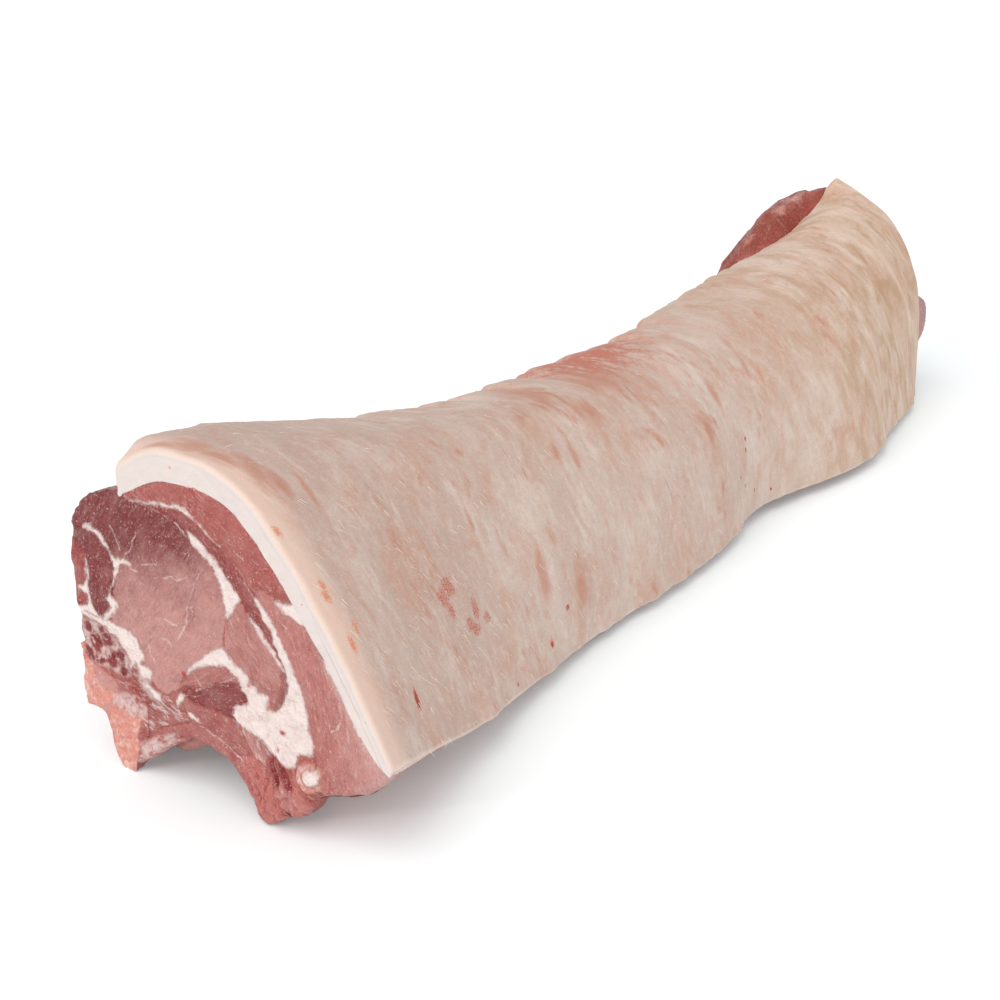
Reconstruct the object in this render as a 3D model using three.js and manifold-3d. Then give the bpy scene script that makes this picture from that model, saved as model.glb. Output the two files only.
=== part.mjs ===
// A whole bone-in pork loin, rind on, lying rind up on its backbone and rib ends.
// Millimetres, +Z up. Measures run from the shoulder cut: x along the loin, out from the foot of the
// backbone towards the belly, up from the surface it lies on. The group is centred at the end.
import * as THREE from "three";
import { mergeVertices } from "three/addons/utils/BufferGeometryUtils.js";
import Module from "manifold-3d";

// Driving dimensions
const RIND_LENGTH = 680;
const GAP = 0.4; // clearance between neighbouring solids
const FIRST_STATION = 12; // spacing of the sections at both ends
const MID_STATION = 23; // spacing of the sections between
const ACROSS = 14; // points across the rind, from the back to the belly
const FAR_LEAN = 6; // how far the lean stands past the rind at the rear cut
const FAR_LUMP = 22; // further reach of the lump under the rind there
const LUMP_PLACE = 0.81; // where the lump is, as a share of the way from back to belly
const LUMP_WIDTH = 0.11;

// Guide lines along the loin: [x, out, up]
const RAILS = {
  back: [
    [0, 7.5, 147], [12, 7.5, 154], [30, 8, 155], [66, 10, 146], [130, 12, 130], [210, 14, 116],
    [280, 14, 108], [380, 14, 105], [450, 14, 107], [500, 14, 112], [570, 14, 116], [640, 15, 122],
    [680, 25, 152],
  ],
  crown: [
    [0, 36, 160], [40, 35, 156], [90, 34, 144], [180, 34, 125], [340, 34, 112], [520, 35, 118],
    [680, 45, 143],
  ],
  shoulder: [[0, 80, 152], [140, 75, 127], [340, 72, 105], [520, 77, 111], [680, 72, 126]],
  flank: [[0, 120, 105], [140, 106, 74], [340, 105, 66], [410, 101, 66], [520, 111, 70], [680, 95, 80]],
  belly: [
    [0, 152, 51], [50, 137, 32], [90, 131, 21], [150, 120, 11], [220, 113, 6], [300, 116, 6],
    [360, 115, 6], [416, 107, 8], [520, 128, 7], [600, 117, 7], [650, 108, 5], [680, 98, 3],
  ],
  ribFoot: [[0, 86, 0], [140, 74, 0], [340, 66, 0], [520, 68, 0], [680, 48, 0]],
};
const BELLY_BOW = [[0, 7], [50, 3.5], [110, 0]]; // how far the belly cut bows below a straight line
const BOW_FROM = 0.85; // share of the way from back to belly where that bow begins
const CUT_FROM = 0.6; // share from which the layers turn to end along the belly cut

// Layers under the rind at the shoulder cut: [share of the way from back to belly, thickness]
const FAT = [[0, 13], [0.25, 15], [0.5, 12], [0.75, 10], [0.92, 9], [1, 4]];
const CAP_LEAN = [[0, 2.5], [0.12, 8], [0.3, 12], [0.5, 16], [0.75, 18], [0.9, 24], [1, 27]];
const SEAM_FAT = [[0, 1.8], [0.5, 1.8], [0.7, 4], [0.82, 12], [0.92, 20], [1, 22]];
const LAYER_SCALE = [[0, 1], [140, 0.82], [340, 0.68], [520, 0.74], [680, 0.68]];

// The lean on the backbone's side and the hollow under the ribs: [x, height]
const LEAN_TOP = [
  [0, 134], [110, 119], [210, 101], [340, 92], [440, 92], [530, 95],
  [565, 99], [600, 116], [640, 131], [675, 138], [700, 138],
];
const HOLLOW = [[0, 31], [200, 26], [400, 19], [540, 10], [700, 7]];
const HOLLOW_PEAK = 0.75; // share of the way from the rib foot to the backbone where the roof stops falling
const HOLLOW_ROUND = 0.8; // below 1 the roof is flatter than a half circle
const ROOF_SHARES = [0, 0.12, 0.27, 0.45, 0.65, 0.85, 1];
const RIB_FOOT_WIDTH = 7.5;
const SPLIT_SIDE = -23; // where the carcass was split, out from the backbone's foot
const SPLIT_WALL = [[0.97, 0.4], [1, 0.62], [0.98, 0.85], [0.75, 0.925], [0.4, 0.98], [-0.14, 1]];

// Backbone: half a vertebra with the groove of the spinal canal, [out, up] at the shoulder cut
const VERTEBRA = [
  [-2, 0], [6, 0], [10, 13], [16, 21], [16, 35], [6, 44], [-4, 56],
  [-14, 60], [-23, 54], [-23, 31], [-20, 26], [-13, 25], [-8, 12],
];
const BONE_SCALE = [[0, 1], [200, 0.94], [400, 0.9], [700, 0.94]];
const VERTEBRA_PITCH = 42;
const JOINT_SWELL = 0.035; // how much thicker the bone is at its joints

// Ribs, as many as the front of the loin has
const RIB_COUNT = 10;
const RIB_WIDTH = 11;
const RIB_DEPTH = 8;
const RIB_FIRST = 1.5; // from the shoulder cut, which saws it, to the middle of the first rib
const RIB_SINK = 1.6; // the middle of a rib lies this far above the hollow's roof
const RIB_SPAN = [0.9, 0.05]; // its ends, as shares of the way from the rib foot to the backbone
const RIB_STEPS = 7;
const RIB_SIDES = 8;

const TISSUES = {
  rind: { color: 0xceb6a8, roughness: 0.55 },
  lean: { color: 0xb2736c, roughness: 0.45 },
  fat: { color: 0xecdcd4, roughness: 0.5 },
  bone: { color: 0xe4a99b, roughness: 0.6 },
};

// A smooth curve through pairs [place, value], with the slope of its neighbours at each
function smoothThrough(pairs) {
  const slope = (i) => {
    const before = pairs[Math.max(i - 1, 0)];
    const after = pairs[Math.min(i + 1, pairs.length - 1)];
    return (after[1] - before[1]) / (after[0] - before[0]);
  };
  return (place) => {
    const last = pairs.length - 2;
    const next = pairs.findIndex((pair) => pair[0] > place);
    const i = next < 0 ? last : Math.min(Math.max(next - 1, 0), last);
    const [x0, y0] = pairs[i];
    const [x1, y1] = pairs[i + 1];
    const span = x1 - x0;
    const t = THREE.MathUtils.clamp((place - x0) / span, 0, 1);
    const ease = t * t * (3 - 2 * t);
    const leave = slope(i) * span * t * (1 - t) * (1 - t);
    const arrive = slope(i + 1) * span * t * t * (t - 1);
    return y0 + (y1 - y0) * ease + leave + arrive;
  };
}

const rails = Object.fromEntries(
  Object.entries(RAILS).map(([name, points]) => {
    const out = smoothThrough(points.map(([x, o]) => [x, o]));
    const up = smoothThrough(points.map(([x, , u]) => [x, u]));
    return [name, (x) => new THREE.Vector2(out(x), up(x))];
  }),
);
const fatDepth = smoothThrough(FAT);
const capDepth = smoothThrough(CAP_LEAN);
const seamDepth = smoothThrough(SEAM_FAT);
const layerScale = smoothThrough(LAYER_SCALE);
const leanTop = smoothThrough(LEAN_TOP);
const hollow = smoothThrough(HOLLOW);
const boneScale = smoothThrough(BONE_SCALE);
const bellyBow = smoothThrough(BELLY_BOW);

// The rind's outer line in the section at x, and the directions in which its layers lie below it
function rindLine(x) {
  const names = ["back", "crown", "shoulder", "flank", "belly"];
  const curve = new THREE.SplineCurve(names.map((name) => rails[name](x)));
  const cut = rails.ribFoot(x).sub(rails.belly(x)).normalize();
  return Array.from({ length: ACROSS }, (_, i) => {
    const share = i / (ACROSS - 1);
    const tangent = curve.getTangent(share);
    const inward = new THREE.Vector2(tangent.y, -tangent.x);
    inward.lerp(cut, THREE.MathUtils.smoothstep(share, CUT_FROM, 1)).normalize();
    return { share, point: curve.getPoint(share), inward };
  });
}

// That line moved inward by a depth that depends on the share of the way from back to belly
function lineBelow(x, depthAt) {
  const scale = layerScale(x);
  const cut = rails.ribFoot(x).sub(rails.belly(x));
  const belowCut = new THREE.Vector2(-cut.y, cut.x).normalize();
  return rindLine(x).map(({ share, point, inward }) => {
    const depth = depthAt(share, scale);
    const along = depth / cut.length();
    const bow = bellyBow(x) * Math.sin(2 * Math.PI * along) * (1 - along);
    const moved = point.clone().addScaledVector(inward, depth);
    moved.addScaledVector(belowCut, bow * THREE.MathUtils.smoothstep(share, BOW_FROM, 1));
    moved.y = Math.max(moved.y, 0);
    return moved;
  });
}

const underFat = (share, scale) => fatDepth(share) * scale;
const underCap = (share, scale) => (fatDepth(share) + capDepth(share)) * scale;
const underSeam = (share, scale) => (fatDepth(share) + capDepth(share) + seamDepth(share)) * scale;

// A layer's closed outline at x, between two depths, with a point more in the middle of its belly cut
function layerOutline(x, top, bottom) {
  const between = lineBelow(x, (share, scale) => (top(share, scale) + bottom(share, scale)) / 2);
  return [...lineBelow(x, top), between.at(-1), ...lineBelow(x, bottom).reverse()];
}

// A point on the roof of the hollow under the ribs, from the rib foot at 0 to the backbone at 1
function hollowRoof(x, share) {
  const foot = rails.ribFoot(x).x - RIB_FOOT_WIDTH;
  const bone = Math.max(...VERTEBRA.map(([out]) => out)) * boneScale(x);
  const turn = Math.PI * Math.min(share, HOLLOW_PEAK) ** HOLLOW_ROUND;
  const rise = Math.sin(turn) ** HOLLOW_ROUND;
  return new THREE.Vector2(THREE.MathUtils.lerp(foot, bone, share), hollow(x) * rise);
}

// The inner lean's outline at x; the bones are cut out of it afterwards
function loinOutline(x) {
  const outer = lineBelow(x, (share, scale) => underSeam(share, scale) + GAP);
  const foot = rails.ribFoot(x);
  const roof = ROOF_SHARES.map((share) => hollowRoof(x, share));
  const top = leanTop(x);
  const wall = SPLIT_WALL.map(([side, share]) => new THREE.Vector2(side * SPLIT_SIDE, share * top));
  return [...outer, foot, ...roof, ...wall];
}

// Half a vertebra's outline at x, grown by a clearance
function boneOutline(x, grown = 0) {
  const beat = 0.5 + 0.5 * Math.cos((2 * Math.PI * x) / VERTEBRA_PITCH);
  const scale = boneScale(x) * (1 + JOINT_SWELL * beat);
  const points = VERTEBRA.map(([out, up]) => {
    const side = out === SPLIT_SIDE ? out : out * scale;
    return new THREE.Vector2(side, up * scale);
  });
  return points.map((point, i) => {
    const before = points.at(i - 1);
    const after = points[(i + 1) % points.length];
    const along = after.clone().sub(before).normalize();
    return new THREE.Vector2(point.x + along.y * grown, point.y - along.x * grown);
  });
}

// A closed solid through outlines at places along the loin. From the point numbered turn an outline runs
// back, so its faces are split the other way, as those they lie against; reach moves the end along x.
function loft(places, outlineAt, turn = Infinity, reach = () => 0) {
  const rings = places.map((x) => outlineAt(x));
  const count = rings[0].length;
  const last = places.length - 1;
  const position = rings.flatMap((ring, i) =>
    ring.flatMap((p, j) => [places[i] + reach(i === last, j), -p.x, p.y]),
  );
  const index = [];
  for (let i = 0; i < last; i += 1) {
    for (let j = 0; j < count; j += 1) {
      const a = i * count + j;
      const b = i * count + ((j + 1) % count);
      const [c, d] = [b + count, a + count];
      index.push(...(j < turn ? [a, b, c, a, c, d] : [a, b, d, b, c, d]));
    }
  }
  const clockwise = THREE.ShapeUtils.isClockWise(rings[0]);
  for (const [ring, start] of [[rings[0], 0], [rings[last], last * count]]) {
    for (const face of THREE.ShapeUtils.triangulateShape(ring, [])) {
      const [a, b, c] = face.map((k) => start + k);
      index.push(...((start === 0) === clockwise ? [a, b, c] : [a, c, b]));
    }
  }
  return facingOut(position, index);
}

// A geometry from points and triangles, turned round if its faces point inwards
function facingOut(position, index) {
  const corner = (k) => new THREE.Vector3().fromArray(position, 3 * k);
  let volume = 0;
  for (let i = 0; i < index.length; i += 3) {
    const [a, b, c] = [index[i], index[i + 1], index[i + 2]].map(corner);
    volume += a.dot(b.cross(c)) / 6;
  }
  const turned = index.map((k, i) => (i % 3 === 1 ? index[i + 1] : i % 3 === 2 ? index[i - 1] : k));
  return new THREE.BufferGeometry()
    .setAttribute("position", new THREE.Float32BufferAttribute(position, 3))
    .setIndex(volume < 0 ? turned : index);
}

// Sections close together at both cuts, further apart between
function stations(end) {
  const places = [0, FIRST_STATION, 2 * FIRST_STATION];
  while (places.at(-1) + MID_STATION < end - 2 * FIRST_STATION) places.push(places.at(-1) + MID_STATION);
  return [...places, end - FIRST_STATION, end];
}

// One rib, an oval bar along the roof of the hollow
function ribBar(x, grown = 0) {
  const [fromBone, toFoot] = RIB_SPAN;
  const path = new THREE.CatmullRomCurve3(
    Array.from({ length: RIB_STEPS + 1 }, (_, i) => {
      const roof = hollowRoof(x, THREE.MathUtils.lerp(fromBone, toFoot, i / RIB_STEPS));
      return new THREE.Vector3(x, -roof.x, roof.y + RIB_SINK);
    }),
  );
  const oval = new THREE.Shape(
    Array.from({ length: RIB_SIDES }, (_, i) => {
      const angle = (2 * Math.PI * (i + 0.5)) / RIB_SIDES;
      return new THREE.Vector2(
        (RIB_WIDTH / 2 + grown) * Math.cos(angle),
        (RIB_DEPTH / 2 + grown) * Math.sin(angle),
      );
    }),
  );
  return new THREE.ExtrudeGeometry(oval, { steps: RIB_STEPS, bevelEnabled: false, extrudePath: path });
}

const wasm = await Module();
wasm.setup();

// A three.js geometry as a solid for cutting
function solid(geometry) {
  const bare = geometry.clone();
  bare.deleteAttribute("normal");
  bare.deleteAttribute("uv");
  const merged = mergeVertices(bare, 1e-3);
  return new wasm.Manifold(
    new wasm.Mesh({
      numProp: 3,
      vertProperties: merged.attributes.position.array,
      triVerts: new Uint32Array(merged.index.array),
    }),
  );
}

// A rib as it is left by the shoulder cut
function rib(x) {
  const loinSpan = new THREE.BoxGeometry(RIND_LENGTH, RIND_LENGTH, RIND_LENGTH);
  loinSpan.translate(RIND_LENGTH / 2, 0, 0);
  return geometryOf(solid(ribBar(x)).intersect(solid(loinSpan)));
}

// A cut solid back as a three.js geometry
function geometryOf(made) {
  const mesh = made.getMesh();
  return new THREE.BufferGeometry()
    .setAttribute("position", new THREE.BufferAttribute(mesh.vertProperties, 3))
    .setIndex(new THREE.BufferAttribute(mesh.triVerts, 1));
}

function named(name, geometry, tissue) {
  const mesh = new THREE.Mesh(geometry, new THREE.MeshStandardMaterial(TISSUES[tissue]));
  mesh.name = name;
  return mesh;
}

const rindStations = stations(RIND_LENGTH);
const leanStations = [...rindStations, RIND_LENGTH + FAR_LEAN];
const ribPlaces = Array.from({ length: RIB_COUNT }, (_, i) => RIB_FIRST + i * VERTEBRA_PITCH);

// The lump at the rear cut, over a layer's outline that runs from back to belly and returns
function farLump(isLast, j) {
  const share = Math.min(j, 2 * ACROSS - j, ACROSS - 1) / (ACROSS - 1);
  return isLast ? FAR_LUMP * Math.exp(-(((share - LUMP_PLACE) / LUMP_WIDTH) ** 2)) : 0;
}

const backFat = loft(rindStations, (x) => layerOutline(x, () => 0, underFat), ACROSS);
const capLean = loft(
  leanStations,
  (x) => layerOutline(x, (share, scale) => underFat(share, scale) + GAP, underCap),
  ACROSS,
  farLump,
);
const seamFat = loft(
  leanStations,
  (x) => layerOutline(x, (share, scale) => underCap(share, scale) + GAP, underSeam),
  ACROSS,
);
const backbone = loft(leanStations, (x) => boneOutline(x));

// The inner lean, with room for the backbone and the ribs
function loinLean() {
  const cutterStations = [-GAP, ...leanStations.slice(1, -1), RIND_LENGTH + FAR_LEAN + GAP];
  const boneRoom = loft(cutterStations, (x) => boneOutline(x, GAP));
  let lean = solid(loft(leanStations, loinOutline)).subtract(solid(boneRoom));
  for (const x of ribPlaces) lean = lean.subtract(solid(ribBar(x, GAP)));
  return geometryOf(lean);
}

const loin = new THREE.Group();
loin.add(
  named("back_fat", backFat, "rind"),
  named("cap_lean", capLean, "lean"),
  named("seam_fat", seamFat, "fat"),
  named("loin_lean", loinLean(), "lean"),
  named("backbone", backbone, "bone"),
);
ribPlaces.forEach((x, i) => loin.add(named(`rib_${i + 1}`, rib(x), "bone")));

// Origin in the middle of the loin's length and width, on the surface it lies on
const middle = new THREE.Box3().setFromObject(loin).getCenter(new THREE.Vector3());
loin.position.set(-middle.x, -middle.y, 0);

export default loin;
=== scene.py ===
"""A whole bone-in pork loin, rind on, lying rind up on its backbone and rib ends.

Sections are worked out in millimetres, as in the part: x along the loin from the shoulder cut, out from the
foot of the backbone towards the belly, up from the surface it lies on. place() turns them into metres.
"""
import math
from functools import partial

import bmesh
import bpy
import numpy as np
from mathutils import Matrix, Vector
from mathutils.geometry import delaunay_2d_cdt


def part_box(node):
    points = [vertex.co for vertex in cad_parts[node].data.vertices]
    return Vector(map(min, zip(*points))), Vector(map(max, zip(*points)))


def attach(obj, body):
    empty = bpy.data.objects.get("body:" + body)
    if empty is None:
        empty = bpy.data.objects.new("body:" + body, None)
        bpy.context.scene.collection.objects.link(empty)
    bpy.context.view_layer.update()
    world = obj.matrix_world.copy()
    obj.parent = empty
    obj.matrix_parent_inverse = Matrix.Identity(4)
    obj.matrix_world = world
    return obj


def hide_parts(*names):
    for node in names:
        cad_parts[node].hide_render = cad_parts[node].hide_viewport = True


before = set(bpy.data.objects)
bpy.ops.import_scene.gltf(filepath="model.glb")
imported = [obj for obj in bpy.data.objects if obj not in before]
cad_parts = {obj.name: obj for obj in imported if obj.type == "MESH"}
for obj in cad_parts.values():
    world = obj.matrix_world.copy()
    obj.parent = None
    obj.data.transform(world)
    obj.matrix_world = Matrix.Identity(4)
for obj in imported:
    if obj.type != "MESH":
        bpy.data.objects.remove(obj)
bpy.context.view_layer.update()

# Where the loin lies in the frame, in metres
NEAR_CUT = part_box("back_fat")[0].x
SPLIT_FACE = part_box("backbone")[1].y
SPLIT_SIDE = -23.0
MM = 0.001

# Guide lines along the loin: x, out, up
RIND_LENGTH = 680.0
RAILS = {
    "back": [
        (0, 7.5, 147), (12, 7.5, 154), (30, 8, 155), (66, 10, 146), (130, 12, 130), (210, 14, 116),
        (280, 14, 108), (380, 14, 105), (415, 14, 106), (450, 14, 110), (500, 14, 113), (570, 14, 116),
        (640, 15, 122), (680, 25, 152),
    ],
    "crown": [
        (0, 36, 160), (40, 35, 156), (90, 34, 144), (180, 34, 125), (340, 34, 112), (520, 35, 118),
        (680, 45, 143),
    ],
    "shoulder": [(0, 80, 152), (140, 75, 127), (340, 72, 105), (520, 77, 111), (680, 72, 126)],
    "flank": [
        (0, 120, 105), (140, 106, 74), (340, 105, 66), (410, 101, 66), (520, 111, 70), (680, 95, 80),
    ],
    "belly": [
        (0, 152, 51), (50, 137, 32), (90, 131, 21), (150, 120, 11), (220, 113, 6), (300, 116, 6),
        (360, 115, 6), (416, 107, 8), (520, 128, 7), (600, 117, 7), (650, 108, 5), (680, 98, 3),
    ],
    "rib_foot": [(0, 86, 0), (140, 74, 0), (340, 66, 0), (520, 68, 0), (680, 48, 0)],
}
RIND_RAILS = ("back", "crown", "shoulder", "flank", "belly")
BELLY_BOW = [(0, 7), (50, 3.5), (110, 0)]
BOW_FROM = 0.85
CUT_FROM = 0.6

# Layers under the rind: share of the way from back to belly, thickness; and how they thin along the loin
FAT = [(0, 12.6), (0.25, 13.6), (0.5, 11.6), (0.75, 10), (0.92, 9), (1, 4)]
CAP_LEAN = [(0, 2.5), (0.12, 8), (0.3, 12), (0.5, 16), (0.75, 18), (0.9, 24), (1, 27)]
SEAM_FAT = [(0, 1.8), (0.5, 1.8), (0.7, 4), (0.82, 12), (0.92, 20), (1, 22)]
LAYER_SCALE = [(0, 1), (140, 0.82), (340, 0.68), (520, 0.74), (680, 0.68)]
CUT_ROLL = 2.6
BACK_ROLL = 3.0
BELLY_ROLL = 1.4
SINK_MOST = 0.5
FAT_BULGE = 3.4  # how far the fat swells out along the back
FAT_FOLD = 0.66  # where a crease runs along it, from the lean at 0 to the rind at 1
BACK_NOTCHES = (146, 194, 216, 252, 283, 381, 416)
BACK_NOTCH_DEPTH = 3.8

# The lean on the backbone's side and the hollow under the ribs: x, height
LEAN_TOP = [
    (0, 134), (110, 117), (210, 96), (340, 86), (440, 85), (530, 88), (560, 92),
    (585, 100), (603, 111), (640, 131), (675, 138), (700, 138),
]
SPLIT_WALL = [(1, 0.62), (0.98, 0.85), (0.75, 0.925), (0.4, 0.98), (-0.14, 1)]
HOLLOW = [(0, 28.5), (200, 26), (400, 19), (540, 10), (700, 7)]
HOLLOW_PEAK = 0.75  # share of its width from which the roof stays level
HOLLOW_ROUND = 0.8
SLOPE_FROM = 0.485  # share of the hollow's width from which meat slopes down to the backbone's foot
SLOPE_STEEP = 1.86
SLOPE_REACH = 12.5  # how far in under the bone it comes
SLOPE_ENDS = (140.0, 30.0)  # along the loin: gone at the first, full up to the second
RIB_FOOT_WIDTH = 7.5
TORN_LUMP = 3.8  # mm that torn meat hangs down beside the rib end, where along its edge, and how wide
TORN_LUMP_AT = 0.36
TORN_LUMP_SPAN = 0.24
TORN_LUMP_ENDS = (60.0, 15.0)
FAR_LEAN = 6.0  # mm that the lean reaches past the rind at the rear cut, and a lump of it past that
FAR_LUMP = 33.0
LUMP_PLACE = 0.84
LUMP_WIDTH = 13.0

# Half a vertebra: out, up
VERTEBRA = [
    (-2, 0), (6, 0), (10, 13), (16, 21), (16, 35), (6, 44), (-4, 56),
    (-14, 60), (-23, 54), (-23, 31), (-21, 25), (-11, 25), (-8, 14),
]
BONE_SHOULDER = 3  # its corners between which lean covers the bone
BONE_CREST = 8
UNDER_FAT = 0.4  # mm that the lean reaches into the fat above it
UNDER_BONE = 0.12  # how far the lean reaches in under the bone, as a share of its half width
BONE_SCALE = [(0, 1), (200, 0.94), (400, 0.9), (700, 0.94)]
VERTEBRA_PITCH = 42.0
JOINT_SWELL = 0.035
DISC_HALF = 2.1
DISC_SUNK = 0.9
BONE_PROUD = 0.2

# Ribs, in mm
RIB_COUNT = 10
RIB_FIRST = 1.5
RIB_BEHIND_CUT = 8.0  # the first rib lies at least this far behind the shoulder cut
RIB_WIDTH = 11.0
RIB_DEPTH = 8.0
RIB_SINK = 1.6
RIB_SPAN = (1.03, 0.02)  # shares of the roof's width where a rib starts and ends
RIB_STEPS = 12

# Mesh spacing in mm
RIND_STEP = 1.6
LEAN_STEP = 3.4
BONE_STEP = 2.6
NEAR_GRAIN = 0.72
FAR_GRAIN = 1.7

# Muscles on the shoulder cut: darkness, warmth, lie of the grain in degrees, sinew, and outline, out and up
MUSCLES = {
    "eye": (0.5, 0.02, 55, 0.08, [
        (-23, 113), (-15, 125), (-11, 129), (-5, 133), (9, 135), (14, 133), (31, 133), (43, 130),
        (48, 127), (49, 123), (56, 120), (64, 113), (68, 100), (67, 90), (64, 80), (57, 75), (47, 66),
        (41, 60), (37, 53), (30, 49), (24, 49), (20, 53), (20, 66), (11, 72), (-1, 75), (4, 83), (2, 87),
        (6, 93), (8, 100), (2, 104), (-1, 110), (-5, 115), (-11, 117),
    ]),
    "multifidus": (1.0, 0.05, 75, 0.15, [
        (-23, 113), (-12, 115), (-6, 113), (-1, 108), (2, 102), (2, 93), (-1, 85), (0, 81), (-2, 76),
        (-8, 72), (-12, 78), (-14, 87), (-13, 94), (-15, 101), (-23, 108),
    ]),
    "side strip": (0.8, 0.45, 80, 0.35, [
        (-24, 108), (-17, 103), (-15, 96), (-16, 88), (-15, 80), (-19, 73), (-24, 73),
    ]),
    "upper cap": (0.6, 0.55, -35, 0.25, [
        (9, 135), (10, 139), (20, 143), (35, 148), (46, 150), (60, 149), (72, 144), (82, 137), (91, 130),
        (99, 121), (104, 113), (102, 109), (96, 109), (90, 112), (82, 113), (73, 120), (60, 130),
        (52, 136), (44, 137), (28, 136), (15, 134),
    ]),
    "dark strip": (0.88, 0.3, -42, 0.25, [
        (32, 134), (43, 135), (51, 133), (60, 128), (68, 122), (75, 116), (82, 108), (88, 98), (96, 87),
        (101, 74), (97, 80), (90, 90), (82, 97), (76, 104), (67, 115), (57, 124), (50, 128), (44, 131),
    ]),
    "rib muscle": (0.24, 0.18, -55, 0.45, [
        (71, 97), (77, 102), (82, 95), (91, 87), (96, 80), (97, 72), (95, 64), (91, 59), (86, 65),
        (80, 70), (72, 75), (65, 80), (68, 90),
    ]),
    "rib muscle edge": (0.65, 0.0, -60, 0.15, [
        (96, 82), (99, 73), (97, 64), (93, 57), (89, 61), (94, 67), (95, 75),
    ]),
    "upper lobe": (0.4, 0.3, 35, 0.3, [
        (39, 54), (46, 62), (57, 68), (68, 72), (72, 68), (62, 62), (47, 55),
    ]),
    "lower lobe": (0.95, 0.15, 20, 0.12, [
        (40, 51), (54, 57), (66, 63), (73, 60), (69, 50), (61, 48), (46, 47),
    ]),
    "between the ribs": (0.6, 0.33, -28, 0.5, [
        (36, 48), (47, 48), (60, 47), (70, 43), (79, 37), (78, 31), (70, 31), (60, 35), (50, 38),
        (40, 39), (34, 42),
    ]),
    "shredded": (0.3, 0.1, -62, 1.0, [
        (72, 42), (80, 45), (87, 40), (89, 33), (85, 28), (79, 31), (74, 36),
    ]),
    "under the backbone": (0.6, 0.3, -18, 0.95, [
        (8, 30), (16, 37), (24, 42), (34, 42), (42, 38), (36, 34), (24, 28), (12, 22),
    ]),
    "rib strip": (0.55, 0.4, -30, 0.15, [
        (20, 25), (36, 35), (50, 36), (60, 33), (70, 28), (75, 20), (82, 2), (76, 2), (70, 18), (60, 28),
        (46, 29), (34, 24), (24, 18),
    ]),
    "rib end": (-0.2, 0.62, -62, 0.45, [
        (71, 30), (76, 33), (82, 33), (88, 24), (93, 12), (94, 4), (82, -2), (77, 10),
    ]),
    "rib gap": (0.95, 0.3, -62, 0.15, [
        (84, 33), (91, 36), (95, 30), (102, 16), (98, 8), (94, 12), (89, 24),
    ]),
    "rib strand": (0.55, 0.55, -60, 0.4, [
        (93, 34), (99, 36), (103, 40), (110, 43), (112, 37), (113, 25), (108, 14), (98, 8), (101, 16),
        (96, 28),
    ]),
    "lower cap": (0.22, 0.36, 100, 0.42, [
        (87, 112), (96, 109), (106, 102), (115, 92), (124, 80), (134, 65), (141, 53), (155, 48),
        (152, 42), (133, 27), (122, 22), (115, 22), (113, 37), (110, 58), (104, 79), (97, 95), (89, 106),
    ]),
    "beside the foot": (0.2, 0.25, 38, 0.75, [
        (7, 1), (10, 13), (17, 20), (28, 26), (42, 29), (33, 21), (20, 11),
    ]),
    "clot by the foot": (0.75, 0.3, 30, 0.3, [(9, 20), (10, 24), (15, 25), (17, 22), (12, 19)]),
    "clot above it": (0.9, 0.3, 40, 0.3, [(8, 25), (9, 29), (14, 31), (16, 27), (12, 24)]),
    "chine": (0.72, 0.35, -15, 0.7, [
        (-24, 73), (-6, 70), (8, 66), (16, 52), (24, 44), (16, 36), (8, 26), (-4, 40), (-16, 52),
    ]),
    "grey patch": (0.1, 0.0, 20, 0.3, [(-15, 47), (-6, 49), (2, 46), (3, 39), (-5, 36), (-13, 41)]),
}
EYE_SHADE = [(55, 0.0), (80, 0.1), (94, 0.28), (103, 0.45), (109, 0.72), (116, 0.95), (140, 1.0)]
EYE_SLANT = 0.3
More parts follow.
